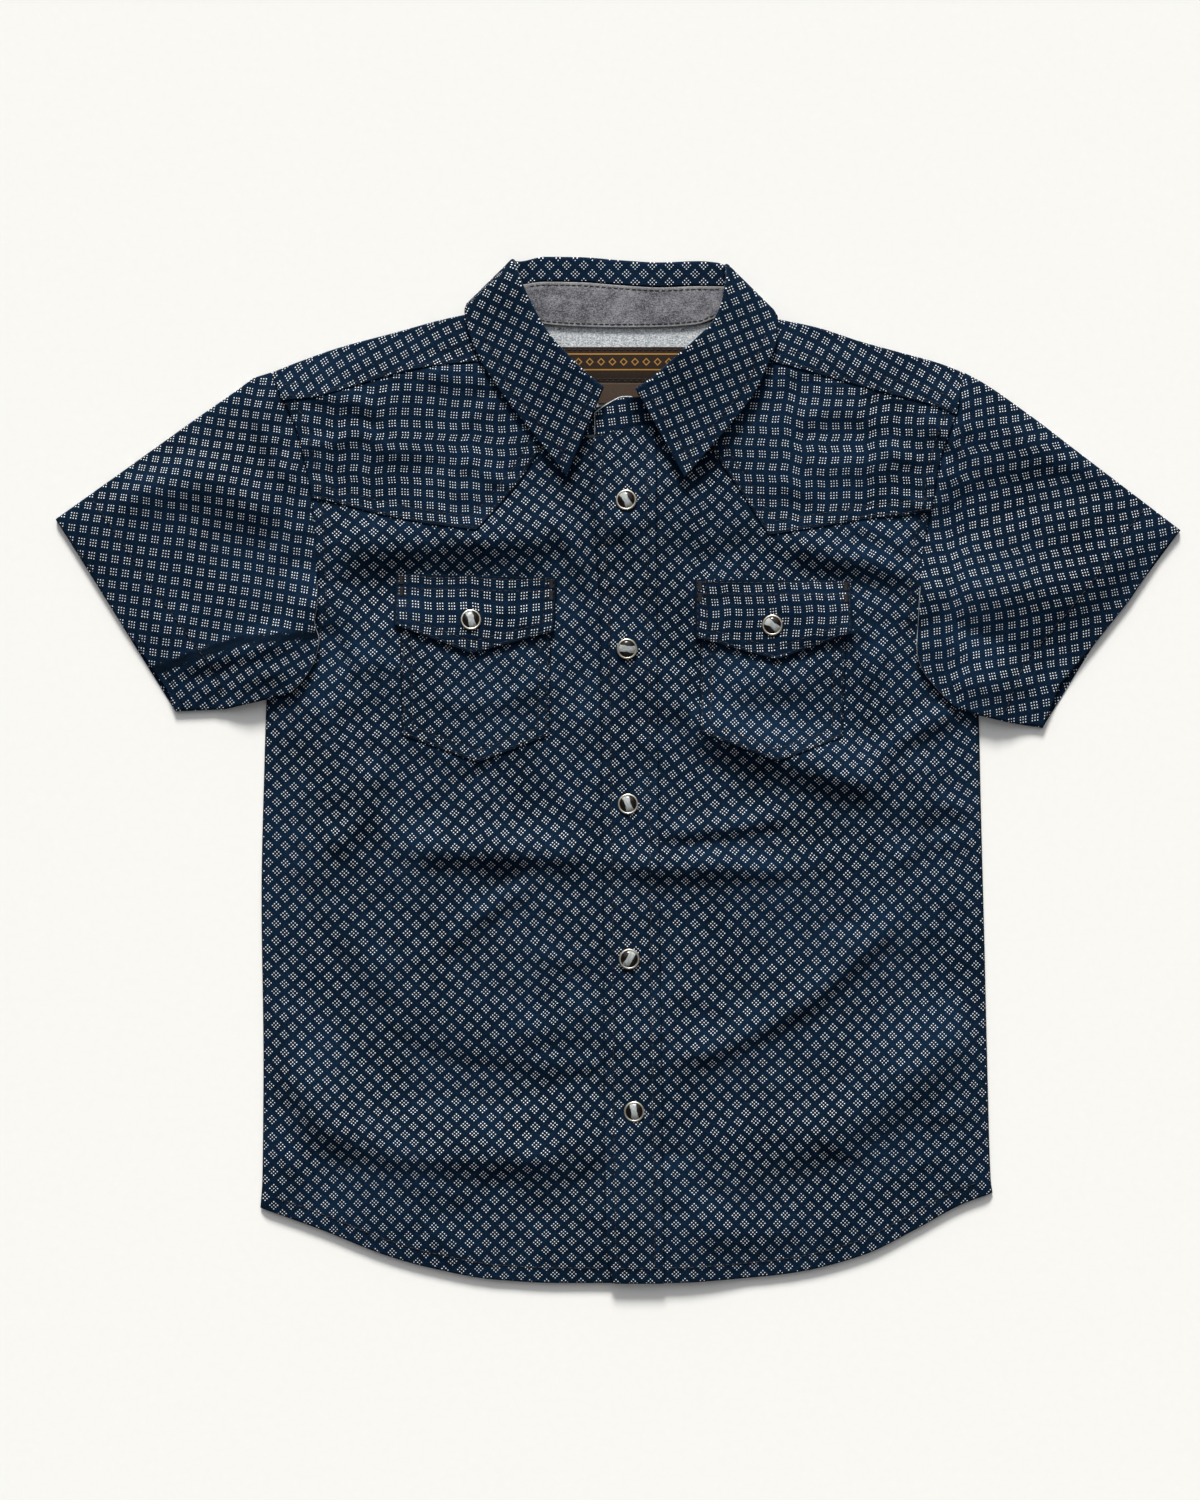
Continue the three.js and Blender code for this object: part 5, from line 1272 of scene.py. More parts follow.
def arm_line(side):
    data = SLEEVE[side]
    gap = -0.7 if side == "left" else 0.7
    y = np.arange(data["shoulder"][0][1], ARM_LOW, -2.5)
    y = y[y > ARM_LOW + 1]
    run = np.stack([edge_x[side](y) + gap, y], 1)
    return rounded(np.concatenate([[data["shoulder"][0]], run[1::3], data["over_body"]]), 2.0)


def sleeve_cloth(side):
    data = SLEEVE[side]
    arm = arm_line(side)
    across = spread(150.0, 2.1, (0.12, 0.4, 0.9, 1.5))
    down = spread(100.0, 2.2)
    fold, under = along(data["shoulder"], down), along(data["under"], down)

    def layer(cuff):
        near, far = along(arm, across), along(cuff, across)
        s, u = down[:, None, None], across[None, :, None]
        a, b = np.array(data["shoulder"][0]), np.array(data["under"][0])
        c, d = np.array(cuff[0]), np.array(cuff[-1])
        corner = (1 - s) * ((1 - u) * a + u * b) + s * ((1 - u) * c + u * d)
        sides = (1 - s) * near[None] + s * far[None]
        return sides + (1 - u) * fold[:, None] + u * under[:, None] - corner

    plans = {"top": layer(data["cuff"]), "back": layer(data["cuff_back"])}
    away = np.minimum(across, 1 - across)[None, :] * 150.0
    bulge = np.sqrt(1 - (1 - np.clip(away / TUBE_ROUND, 0, 1)) ** 2)
    rings, cloths = [], []
    cuff_lines = {"top": data["cuff"], "back": data["cuff_back"]}
    for key in ("top", "back"):
        x, y = plans[key][..., 0], plans[key][..., 1]
        low = sleeve_bottom(side, x, y)
        upper = sleeve_top(side, x, y)
        to_arm = distance(x, y, arm)
        upper = upper - 0.9 * (1 - smooth(to_arm / 5)) * (low < 0.01)
        outer = upper if key == "top" else low
        middle = (upper + low) / 2
        z = middle + (outer - middle) * bulge
        groove = np.exp(-(((distance(x, y, cuff_lines[key]) - SLEEVE_HEM) / 0.9) ** 2))
        z = z - 0.35 * groove * (1 if key == "top" else -1)
        rings.append(np.stack([x, y, z], 2))
        below = y < curve(UNDERARM_CREASE[side])(x)
        u, v = cloth_place(x, y, SLEEVE_GRAIN[side])
        under_u, under_v = cloth_place(x, y, UNDERARM_GRAIN[side])
        crease = distance(x, y, UNDERARM_CREASE[side])
        turned = below & (key == "top") & (side == "right")
        u, v = np.where(turned, under_u, u), np.where(turned, under_v, v)
        to_cuff = distance(x, y, data["cuff"])
        # Painted shade: on the right sleeve's upper layer the underarm crease also counts as an edge, so
        # the print's painted dark edge line runs along the crease.
        if side == "right" and key == "top":
            to_cuff = np.minimum(to_cuff, np.clip(crease - 2.0, 0, None))
        cloths.append(np.stack([u, v, to_cuff], 2))
    grid = np.concatenate([rings[0], rings[1][:, -2:0:-1]], 1)
    cloth = np.concatenate([cloths[0], cloths[1][:, -2:0:-1]], 1)
    to_hem = distance(grid[..., 0], grid[..., 1], data["cuff"])
    past_hem = np.where(to_hem < SLEEVE_HEM, 0, 1)
    is_left = side == "left"
    return shell(f"sleeve_cloth_{side}", grid, cloth, CLOTH, wrap=True, flip=is_left, inner=past_hem)


for side in ("right", "left"):
    seated(sleeve_cloth(side), [f"sleeve_{side}"])


# Collar: leaf with its roll and strip, band, facing and labels
def stack_top(x, y, is_left):
    lap = lap_lift(x) if is_left else 0.0
    return front_bottom(x, y) + lap + WALL + LAYER


LEAF_STEPS = 16
STRIP_STEPS = 5


def leaf_crown(share):
    """How far the leaf bulges over its rest: most a third of the way from the roll."""
    peak = LEAF_CROWN["peak"]
    rise = float(smooth(share / peak))
    fall = 1 - float(smooth((share - peak) / (1 - peak)))
    return LEAF_CROWN["height"] * min(rise, fall)


def collar_profile(index, row):
    """Middle of the cloth across one section, and its start of the band."""
    roll, edge, neck, strip, turn, level, seam, lift = row
    roll, edge, neck = np.array(roll), np.array(edge), np.array(neck)
    is_left = index > len(COLLAR) / 2
    angle = math.radians(turn)
    leaf = (edge - roll) / np.linalg.norm(edge - roll)
    band = (neck - roll) / np.linalg.norm(neck - roll)
    across = np.array([-leaf[1], leaf[0]]) if is_left else np.array([leaf[1], -leaf[0]])
    normal = np.array([*(math.sin(angle) * across), math.cos(angle)])
    lap = float(lap_lift(roll[0])) if is_left else 0.0
    if level is None:
        level = float(front_bottom(*roll)) + lap + WALL + SEAM / 2 + ROLL_RISE
        lap_at_neck = float(lap_lift(neck[0])) if is_left else 0.0
        seam = float(front_bottom(*neck)) + lap_at_neck + WALL / 2
    elif seam is None:
        seam = level + HALF_LEAF
    level += ROLL_UP * float(smooth((110.0 - turn) / 80.0))
    points = []
    ends = spread(40.0, 40.0 / LEAF_STEPS)
    for share in 1 - ends:
        x, y = roll + leaf * np.linalg.norm(edge - roll) * share
        z = level + HALF_LEAF * normal[2]
        rest = float(stack_top(x, y, is_left)) + LEAF_CLEAR
        if turn < UPRIGHT_TURN:
            laid_z = rest + WALL / 2 + lift * share * share
            crown = leaf_crown(share) * float(smooth((70.0 - turn) / 40.0))
            z = laid_z + max(0.0, z - laid_z) * (1 - share) ** LEAF_FALL + crown
        points.append([x + normal[0] * HALF_LEAF, y + normal[1] * HALF_LEAF, z])
    centre = np.array([roll[0], roll[1], points[-1][2] - HALF_LEAF * normal[2]])
    out = np.array([-leaf[0], -leaf[1], 0.0])
    for degrees in (30, 60, 90, 120, 150):
        a = math.radians(degrees)
        points.append(list(centre + HALF_LEAF * (math.cos(a) * normal + math.sin(a) * out)))
    start = centre - HALF_LEAF * normal
    for share in spread(10.0, 10.0 / STRIP_STEPS):
        points.append(list(start + np.array([*band, 0.0]) * strip * share))
    strip_end = np.array(points[-1])
    drop = BAND_DROP * max(0.0, math.sin(2 * angle))
    band_start = strip_end + np.array([*(band * BAND_GAP), -drop])
    band_stop = np.array([neck[0] - normal[0] * HALF_LEAF / 2, neck[1] - normal[1] * HALF_LEAF / 2, seam])
    return np.array(points), band_start, band_stop


def refined(sections, step):
    """Sections joined by smooth curves, about step apart, with closer ones at both ends."""
    sections = np.asarray(sections)
    moves = np.linalg.norm(np.diff(sections, axis=0), axis=2).mean(1)
    knots = np.concatenate([[0.0], np.cumsum(moves)])
    places = spread(knots[-1], step) * knots[-1]
    return pchip(knots, sections, places), places / knots[-1]


PROFILES = [collar_profile(i, row) for i, row in enumerate(COLLAR)]
LEAF_GRAIN = {"right": -27.7, "left": 23.6, "strip": 45.0}
CORNER = {"right": np.array([-48.0, 231.0]), "left": np.array([50.0, 229.0])}


def leaf_cloth():
    grid, _ = refined([profile[0] for profile in PROFILES], 1.9)
    x, y = grid[..., 0], grid[..., 1]
    roll_column = len(spread(40.0, 40.0 / LEAF_STEPS)) + 2
    u, v = x.copy(), y.copy()
    for side, sign in (("right", -1), ("left", 1)):
        at = (x * sign > 0) & (y[:, roll_column, None] * np.ones_like(y) < 232.0)
        angle = math.radians(LEAF_GRAIN[side])
        dx, dy = x - CORNER[side][0], y - CORNER[side][1]
        turned_u = dx * math.cos(angle) + dy * math.sin(angle) + CORNER[side][0]
        turned_v = dy * math.cos(angle) - dx * math.sin(angle) + CORNER[side][1]
        u, v = np.where(at, turned_u, u), np.where(at, turned_v, v)
    columns = np.arange(grid.shape[1])[None, :]
    strip_u, strip_v = cloth_place(x, y, LEAF_GRAIN["strip"], False)
    on_strip = columns >= roll_column
    u, v = np.where(on_strip, strip_u, u), np.where(on_strip, strip_v, v)
    free = np.linalg.norm(grid - grid[:, :1], axis=2)
    ends = np.minimum(
        np.linalg.norm(grid - grid[:1], axis=2), np.linalg.norm(grid - grid[-1:], axis=2)
    )
    cloth = np.stack([u, v, np.minimum(free, ends)], 2)
    normal = grid_normals(grid, False)
    sign = 1 if normal[2, 3, 2] > 0 else -1
    outer = grid + normal * sign * WALL / 2
    printed = np.zeros(grid.shape[:2])
    piece = shell("collar_leaf_cloth", outer, cloth, THICK["leaf"], flip=sign < 0, inner=printed)
    return piece, outer


def band_row(start, stop):
    """Points across the band, which laps over the edge of the cloth below it."""
    plan = stop[:2] - start[:2]
    past = plan / np.hypot(*plan) * BAND_OVER["past"]
    end = stop + np.array([*past, BAND_OVER["up"]])
    return [mix(start, end, t) for t in spread(14.0, 2.0)]


def band_cloth():
    rows = []
    for row, (_, start, stop) in zip(COLLAR, PROFILES):
        flat_back = [mix(start, stop, t * 0.9) for t in spread(14.0, 2.0)]
        rows.append(flat_back if row[4] > 150 else band_row(start, stop))
    for top, neck in BAND_END:
        high = float(front_bottom(*top)) + LAYER + WALL / 2 + ROLL_RISE / 2
        low = float(front_bottom(*neck)) + LAYER + WALL / 2
        start, stop = np.array([*top, high]), np.array([*neck, low])
        rows.append(band_row(start, stop))
    grid, _ = refined(rows, 1.9)
    x, y = grid[..., 0], grid[..., 1]
    u, v = cloth_place(x, y, GRAIN["band"], False)
    edge = np.minimum(
        np.linalg.norm(grid - grid[:, :1], axis=2), np.linalg.norm(grid - grid[-1:], axis=2)
    )
    normal = grid_normals(grid, False)
    sign = 1 if normal[2, 3, 2] > 0 else -1
    outer = grid + normal * sign * WALL / 2
    cloth = np.stack([u, v, edge], 2)
    printed = np.zeros(grid.shape[:2])
    piece = shell("collar_band_cloth", outer, cloth, THICK["band"], flip=sign < 0, inner=printed)
    shows = x[:, 0] < BAND_OVER["edge_from"]
    last = np.nonzero(shows & (np.arange(len(x)) > len(x) * 0.8))[0]
    top_edge = grid[last[0]:, 0] + (0, 0, -0.1)
    end_edge = grid[-1, 1:] + (0, 0, -0.1)
    return piece, np.concatenate([top_edge, end_edge])


def cord(name, path, radius, material, sides=8):
    """A soft round edge along a path in space, tapered at both ends."""
    path = np.asarray(path, float)
    steps = np.linalg.norm(np.diff(path, axis=0), axis=1)
    knots = np.concatenate([[0.0], np.cumsum(steps)])
    line = pchip(knots, path, np.linspace(0, knots[-1], max(4, round(knots[-1] / 0.8))))
    tangent = np.gradient(line, axis=0)
    tangent /= np.linalg.norm(tangent, axis=1, keepdims=True)
    side = np.cross(tangent, (0, 0, 1))
    side /= np.linalg.norm(side, axis=1, keepdims=True)
    up = np.cross(side, tangent)
    count = len(line)
    taper = np.sqrt(np.clip(np.minimum(np.arange(count), np.arange(count)[::-1]) / 2.0, 0.04, 1.0))
    angles = 2 * math.pi * np.arange(sides) / sides
    ring = np.cos(angles)[None, :, None] * side[:, None] + np.sin(angles)[None, :, None] * up[:, None]
    points = (line[:, None] + ring * radius * taper[:, None, None]).reshape(-1, 3)
    place = np.linspace(0, knots[-1], count)
    cloth = np.zeros((count, sides, 3))
    cloth[..., 0] = place[:, None]
    cloth[..., 1] = angles[None] * radius
    cloth[..., 2] = 5.0
    faces = []
    for i in range(count - 1):
        for k in range(sides):
            m = (k + 1) % sides
            faces.append([i * sides + k, i * sides + m, (i + 1) * sides + m, (i + 1) * sides + k])
    faces.append(list(range(sides))[::-1])
    faces.append([(count - 1) * sides + k for k in range(sides)])
    return make_object(name, points, faces, cloth.reshape(-1, 3), [material], [0] * len(faces))


leaf, LEAF_GRID = leaf_cloth()
seated(leaf, ["collar_leaf"])
band, band_edge = band_cloth()
seated(band, ["collar_band"])
under_top = raised(TOP["right"], 0.15)
under_band = patch(
    "under_band_cloth", closed_outline(UNDER_BAND), under_top, THICK["under_band"], GRAIN["band"],
    step=1.8,
)
seated(under_band, [])
seated(cord("band_facing_edge", band_edge, BAND_OVER["edge"], REVERSE), [])

UNDER_ROWS = [row for row in COLLAR if row[4] > 150]
facing_top_y = curve([(row[0][0], row[0][1] - row[3]) for row in UNDER_ROWS])
facing_low_y = curve([row[2] for row in UNDER_ROWS])


def facing_outline():
    x = np.arange(FACING["from"], FACING["to"] + 1, 2.0)
    low = np.stack([x, facing_low_y(x) + FACING["lower"]], 1)
    share = ((x - x[0]) / (x[-1] - x[0]))[::-1]
    x = x[::-1] + mix(FACING["slant"][0], FACING["slant"][1], share)
    high = np.stack([x, facing_top_y(x) - FACING["upper"]], 1)
    sides = [resampled([high[-1], low[0]], 1.6)[1:-1], resampled([low[-1], high[0]], 1.6)[1:-1]]
    return np.concatenate([low, sides[1], high, sides[0]])


def facing_height(x, y):
    return 2 * LAYER + 0.8 + 0.12 * np.sin(x / 7.0) * np.sin(y / 5.0)


facing = patch(
    "facing_cloth", facing_outline(), facing_height, THICK["facing"], 0.0, step=2.0,
    grooves=(FACING["groove"],),
    materials=(CHAMBRAY, CHAMBRAY), folded=False,
)
seated(facing, ["band_facing"])


def rectangle(box):
    left, low, right, high = box
    return [(left, low), (right, low), (right, high), (left, high)]


def inside_back(lift, wave):
    return lambda x, y: back_bottom(x, y) + WALL + SEAM + lift + wave * np.sin(x / 6.0)


LABEL_GROOVE = 1.3
label_top = inside_back(0.5, 0.1)
label = patch(
    "label_cloth", closed_outline(rectangle(LABEL)), label_top, THICK["label"], 0.0, step=2.0,
    grooves=(LABEL_GROOVE,), materials=(LABEL_CLOTH, LABEL_CLOTH), folded=False,
)
seated(label, ["neck_label"])
tab = patch(
    "size_tab_cloth", closed_outline(rectangle(SIZE_TAB)), inside_back(0.45, 0.05), THICK["label"],
    0.0, step=2.0, materials=(TAB_CLOTH, TAB_CLOTH), folded=False,
)
seated(tab, ["size_tab"])


# Snaps: node prefix, turn of the pale band in degrees from upright, surface that it sits on
SNAPS = [
    ("snap_1", 30, placket_top),
    ("snap_2", 84, placket_top),
    ("snap_3", 20, placket_top),
    ("snap_4", -28, placket_top),
    ("snap_5", 11, placket_top),
    ("flap_snap_right", 17, flap_top("right")),
    ("flap_snap_left", 52, flap_top("left")),
]
# Radius and height, from the foot of the ring round its outside, and from the top of the cap down
RING_PROFILE = [
    (3.75, 0.0), (4.45, 0.0), (4.72, 0.25), (4.78, 0.6), (4.66, 0.95), (4.36, 1.16), (4.02, 1.12),
    (3.84, 0.9), (3.78, 0.5),
]
CAP_PROFILE = [
    (0.0, 2.1), (0.9, 2.06), (1.8, 1.93), (2.6, 1.7), (3.2, 1.4), (3.6, 1.1), (3.86, 0.8),
    (3.7, 0.4), (3.4, 0.3), (0.0, 0.3),
]
SNAP_REACH = 4.0
TURNS = 48


def lathe(profile, closed):
    angles = 2 * math.pi * np.arange(TURNS) / TURNS
    points, faces, index = [], [], []
    for radius, z in profile:
        if radius == 0:
            index.append([len(points)] * TURNS)
            points.append((0.0, 0.0, z))
        else:
            index.append(list(range(len(points), len(points) + TURNS)))
            points += [(radius * math.cos(a), radius * math.sin(a), z) for a in angles]
    pairs = list(zip(index[:-1], index[1:]))
    if closed:
        pairs.append((index[-1], index[0]))
    for low, high in pairs:
        for k in range(TURNS):
            m = (k + 1) % TURNS
            face = [low[k], low[m], high[m], high[k]]
            unique = [v for i, v in enumerate(face) if v not in face[:i]]
            faces.append(unique)
    return np.array(points), faces


def level_at(top, x, y):
    return float(top(np.array([x]), np.array([y]))[0])


def snap(prefix, turn, top):
    """A turned ring and its cap, square to the cloth under them."""
    low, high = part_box(f"{prefix}_ring")
    cx, cy = (low.x + high.x) / 2 / MM, (low.y + high.y) / 2 / MM
    slope_x = level_at(top, cx + SNAP_REACH, cy) - level_at(top, cx - SNAP_REACH, cy)
    slope_y = level_at(top, cx, cy + SNAP_REACH) - level_at(top, cx, cy - SNAP_REACH)
    normal = Vector((-slope_x / (2 * SNAP_REACH), -slope_y / (2 * SNAP_REACH), 1)).normalized()
    turn_matrix = np.array(Vector((0, 0, 1)).rotation_difference(normal).to_matrix())
    seat = np.array([cx, cy, level_at(top, cx, cy) + 0.05])
    c, s = math.cos(math.radians(turn)), math.sin(math.radians(turn))
    for suffix, profile, closed, material, slot in (
        ("ring", RING_PROFILE, True, METAL, "snap_metal"),
        ("cap", CAP_PROFILE, False, CAP, "snap_cap"),
    ):
        points, faces = lathe(profile, closed)
        x, y, z = points.T
        cloth = np.stack([x * c + y * s, y * c - x * s, z + RANDOM.uniform(0, 60)], 1)
        placed = points @ turn_matrix.T + seat
        name = f"{prefix}_{suffix}_detail"
        piece = make_object(name, placed, faces, cloth, [material], [0] * len(faces))
        seated(piece, [f"{prefix}_{suffix}"])


for row in SNAPS:
    snap(*row)


# Topstitching: rows of short threads
STITCH = {"length": 2.2, "gap": 0.5, "radius": 0.27}
LEAF_ROW = 6.0
thread_points, thread_faces, thread_cloth = [], [], []


def stitch_row(path, top, sink):
    """Threads laid end to end along a path in plan, on a surface."""
    path = np.asarray(path, float)
    lengths = lengths_of(path)
    pitch = STITCH["length"] + STITCH["gap"]
    count = int(lengths[-1] / pitch)
    if count < 1:
        return
    starts = (np.arange(count) + 0.5) * lengths[-1] / count - STITCH["length"] / 2
    shares = [0.0, 0.14, 0.5, 0.86, 1.0]
    swell = [0.25, 0.9, 1.0, 0.9, 0.25]
    for start in starts:
        at = start + np.array(shares) * STITCH["length"]
        x = np.interp(at, lengths, path[:, 0]) + RANDOM.normal(0, 0.04)
        y = np.interp(at, lengths, path[:, 1]) + RANDOM.normal(0, 0.04)
        z = top(x, y) - sink + np.array([-0.12, 0.04, 0.1, 0.04, -0.12])
        heading = np.array([x[-1] - x[0], y[-1] - y[0]])
        heading = heading / max(1e-6, np.hypot(*heading))
        sideways = np.array([-heading[1], heading[0]])
        base = len(thread_points)
        for k in range(5):
            r = STITCH["radius"] * swell[k]
            for a in (0, 72, 144, 216, 288):
                c, s = math.cos(math.radians(a)), math.sin(math.radians(a))
                thread_points.append((x[k] + sideways[0] * r * c, y[k] + sideways[1] * r * c, z[k] + r * s))
                thread_cloth.append((at[k], r * c * 3, r * s * 3 + start))
        for k in range(4):
            for a in range(5):
                b = (a + 1) % 5
                face = [5 * k + a, 5 * k + b, 5 * k + 5 + b, 5 * k + 5 + a]
                thread_faces.append([base + v for v in face])
        thread_faces.append([base + a for a in (4, 3, 2, 1, 0)])
        thread_faces.append([base + 20 + a for a in range(5)])


def beside(path, amount):
    """A path moved sideways, to the left of its direction if amount is positive."""
    path = resampled(path, 1.5)
    tangent = np.gradient(path, axis=0)
    tangent /= np.maximum(np.hypot(*tangent.T), 1e-6)[:, None]
    return path + np.stack([-tangent[:, 1], tangent[:, 0]], 1) * amount


def mitred(corners, amount):
    """An open run of straight edges, moved inwards with its corners kept sharp."""
    corners = np.asarray(corners, float)
    moved = []
    for k in range(len(corners)):
        before = corners[k] - corners[k - 1] if k else corners[1] - corners[0]
        after = corners[k + 1] - corners[k] if k < len(corners) - 1 else before
        normals = [np.array([-e[1], e[0]]) / np.hypot(*e) for e in (before, after)]
        bisector = normals[0] + normals[1]
        moved.append(corners[k] + bisector * 2 * amount / max(0.35, bisector @ bisector))
    return resampled(moved, 1.0)


def stitching():
    for side, sign in (("right", 1), ("left", -1)):
        yoke_top = raised(TOP[side], YOKE_LIFT)
        foot = np.array(YOKE_FOOT[side])
        for amount in GROOVES["yoke"]:
            stitch_row(mitred(foot[:-1], sign * amount), yoke_top, 0.2)
        ring = POCKET[side]
        direction = 1 if signed_area(np.array(ring)) > 0 else -1
        for amount in GROOVES["pocket"]:
            stitch_row(mitred(ring, direction * amount), raised(TOP[side], POCKET_LIFT), 0.2)
        ring = FLAP[side]
        for amount in GROOVES["flap"]:
            stitch_row(mitred(ring, direction * amount), flap_top(side), 0.2)
        across = resampled([ring[0], ring[-1]], 1.0)
        for drop in (1.3, 6.6):
            stitch_row(across[3:-3] - np.array([0, drop]), flap_top(side), 0.2)
        arm = edge_run(side, UNDERARM[side] + 8, FRONT_TOP[side][0][1], 1.5)
        moved = beside(arm, -4.6 if side == "right" else 4.6)
        yoke_foot = YOKE_FOOT[side][0][1]
        stitch_row(moved[moved[:, 1] <= yoke_foot], TOP[side], 0.0)
        stitch_row(moved[moved[:, 1] > yoke_foot + 1], yoke_top, 0.0)
        seam = np.array(FRONT_TOP[side][:SHOULDER_ROWS])
        strip = np.stack([seam[:, 0], seam[:, 1] - STRIP_PAST], 1)
        for row, lift in zip(STRIP_ROWS, (1.35, 1.2)):
            on_strip = raised(front_bottom, WALL + lift)
            stitch_row(resampled(strip + np.array([0, row]), 1.0), on_strip, 0.2)
        cuff = resampled(SLEEVE[side]["cuff"], 1.0)
        inner = beside(cuff, SLEEVE_HEM if side == "right" else -SLEEVE_HEM)
        above = inner[:, 1] > SLEEVE[side]["cuff"][-1][1] + 6
        inside = distance(inner[:, 0], inner[:, 1], OUTLINE) > 3
        stitch_row(inner[above & inside], lambda x, y: sleeve_top(side, x, y), 0.0)
    hem = np.stack([np.arange(-160, 168, 1.5), hem_y(np.arange(-160, 168, 1.5))], 1)
    inner = beside(hem, GROOVES["back"][0])
    stitch_row(inner[inner[:, 0] < -7], TOP["right"], 0.0)
    stitch_row(inner[inner[:, 0] > 23], TOP["left"], 0.0)
    stitch_row(inner[(inner[:, 0] > -1) & (inner[:, 0] < 19)], placket_top, 0.0)
    y = np.arange(-228.0, 150.0, 1.5)
    stitch_row(np.stack([placket_x(y) + GROOVES["placket"][0], y], 1), placket_top, 0.2)
    stitch_row(np.stack([placket_seam_x(y) - GROOVES["placket"][0], y], 1), placket_top, 0.2)


def bar_tack(centre, top, count=9, spacing=0.42):
    """Dense short threads across a seam's end."""
    x, y = centre
    for k in range(count):
        drop = (k - count / 2) * spacing
        line = [(x - 1.4, y + drop), (x + 1.4, y + drop + RANDOM.normal(0, 0.05))]
        stitch_row(line, top, -0.1)


def bar_tacks():
    for side in ("right", "left"):
        ring = np.array(FLAP[side])
        top = flap_top(side)
        inward = 2.6 if ring[0][0] < ring[-1][0] else -2.6
        for corner, way in ((ring[0], inward), (ring[-1], -inward)):
            bar_tack((corner[0] + way, corner[1] - 2.6), top)
            bar_tack((corner[0] + way, corner[1] - 8.0), top)


def level_along(line):
    """Height along a row of leaf points, found by y."""
    order = np.argsort(line[:, 1])
    return lambda x, y: np.interp(y, line[order, 1], line[order, 2])


def leaf_stitching():
    """A row inside the leaf's free edges, found on the leaf's own grid."""
    from_edge = np.linalg.norm(LEAF_GRID - LEAF_GRID[:, :1], axis=2)
    nearest = np.argmin(np.abs(from_edge[:, :18] - LEAF_ROW), axis=1)
    rows = LEAF_GRID[np.arange(len(LEAF_GRID)), nearest]
    from_ends = [np.linalg.norm(rows - rows[end], axis=1) for end in (0, -1)]
    away = np.minimum(*from_ends)
    for is_left in (False, True):
        part = rows[(away > LEAF_ROW) & (rows[:, 1] < 208) & ((rows[:, 0] > 0) == is_left)]
        stitch_row(part[:, :2], level_along(part), 0.0)
    for end in (0, -1):
        lengths = np.linalg.norm(LEAF_GRID[:, 5] - LEAF_GRID[end, 5], axis=1)
        line = LEAF_GRID[int(np.argmin(np.abs(lengths - LEAF_ROW))), 3:18]
        stitch_row(line[:, :2], level_along(line), 0.0)


def sewn(name):
    """Makes one object of all the threads so far, and starts afresh."""
    slots = [0] * len(thread_faces)
    piece = make_object(name, thread_points, thread_faces, thread_cloth, [THREAD], slots)
    seated(piece, [])
    for rows in (thread_points, thread_faces, thread_cloth):
        rows.clear()


stitching()
bar_tacks()
leaf_stitching()
sewn("topstitching")

x = np.arange(FACING["from"] + 1, FACING["to"], 1.0)
stitch_row(np.stack([x, facing_low_y(x) + FACING["lower"] + FACING["groove"]], 1), facing_height, 0.15)
stitch_row(np.stack([x, facing_top_y(x) - FACING["upper"] - FACING["groove"]], 1), facing_height, 0.15)
label_edge = mitred([*rectangle(LABEL), rectangle(LABEL)[0]], LABEL_GROOVE)
stitch_row(label_edge, label_top, 0.15)
sewn("neck_stitching")


# Floor, light and camera
def plane(name, size, z, material):
    mesh = bpy.data.meshes.new(name)
    corners = [(-size, -size, z), (size, -size, z), (size, size, z), (-size, size, z)]
    mesh.from_pydata(corners, [], [[0, 1, 2, 3]])
    mesh.materials.append(material)
    piece = bpy.data.objects.new(name, mesh)
    bpy.context.scene.collection.objects.link(piece)
    return piece


FLOOR = {"half": 3.0, "level": -0.0002}
floor = plane("floor", FLOOR["half"], FLOOR["level"], floor_material())

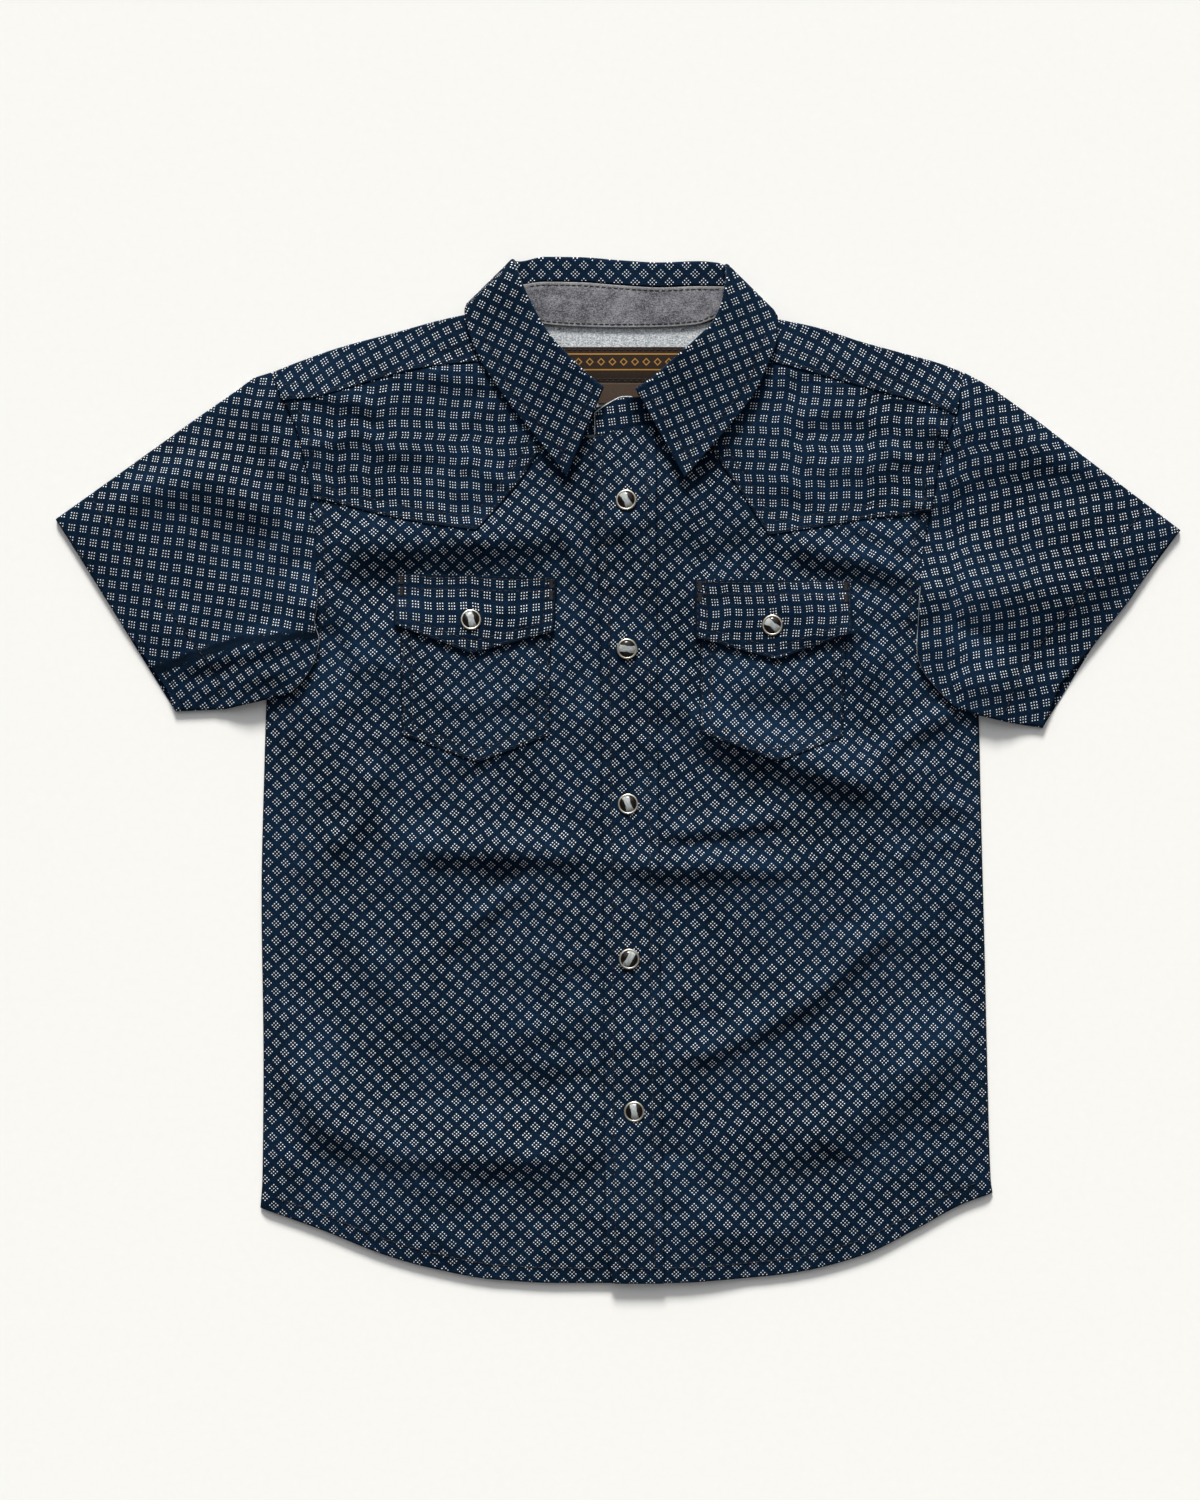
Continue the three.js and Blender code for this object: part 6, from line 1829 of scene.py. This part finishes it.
# Lights: name, azimuth from +Y towards +X, elevation and spread in degrees, strength, colour
LIGHTS = [
    ("window", -4.0, 27.0, 15.0, 4.35, (1.0, 0.985, 0.955)),
    ("room", 168.0, 62.0, 70.0, 0.15, (0.96, 0.98, 1.0)),
]


def sun_light(name, azimuth, elevation, spread, strength, colour):
    data = bpy.data.lights.new(name, "SUN")
    data.angle = math.radians(spread)
    data.energy = strength
    data.color = colour
    lamp = bpy.data.objects.new(name, data)
    a, e = math.radians(azimuth), math.radians(elevation)
    way = Vector((math.sin(a) * math.cos(e), math.cos(a) * math.cos(e), math.sin(e)))
    lamp.location = way * 2
    lamp.rotation_mode = "QUATERNION"
    lamp.rotation_quaternion = way.to_track_quat("Z", "Y")
    bpy.context.scene.collection.objects.link(lamp)


for row in LIGHTS:
    sun_light(*row)


def studio_world():
    """Dim room with one broad bright side beyond the collar."""
    made = bpy.data.worlds.new("studio")
    made.use_nodes = True
    tree = made.node_tree
    place = tree.nodes.new("ShaderNodeTexCoord")
    facing_side = tree.nodes.new("ShaderNodeVectorMath")
    facing_side.operation = "DOT_PRODUCT"
    facing_side.inputs[1].default_value = (-0.05, 0.82, 0.57)
    tree.links.new(place.outputs["Generated"], facing_side.inputs[0])
    glow = tree.nodes.new("ShaderNodeMapRange")
    glow.interpolation_type = "SMOOTHSTEP"
    for key, value in (("From Min", 0.55), ("From Max", 0.97), ("To Min", 0.13), ("To Max", 1.25)):
        glow.inputs[key].default_value = value
    tree.links.new(facing_side.outputs["Value"], glow.inputs["Value"])
    background = tree.nodes["Background"]
    background.inputs["Color"].default_value = (0.95, 0.97, 1.0, 1.0)
    tree.links.new(glow.outputs[0], background.inputs["Strength"])
    return made


world = studio_world()
bpy.context.scene.world = world
bpy.context.scene.view_settings.view_transform = "Standard"

camera_data = bpy.data.cameras.new("camera")
camera_data.sensor_width = 36.0
camera_data.lens = camera_data.sensor_width * PICTURE["above"] / PICTURE["tall"]
camera_data.clip_start = 0.1
camera_data.clip_end = 20.0
camera = bpy.data.objects.new("camera", camera_data)
camera.location = (PICTURE["x"] * MM, PICTURE["y"] * MM, (PICTURE["above"] + PICTURE["cloth"]) * MM)
bpy.context.scene.collection.objects.link(camera)
bpy.context.scene.camera = camera
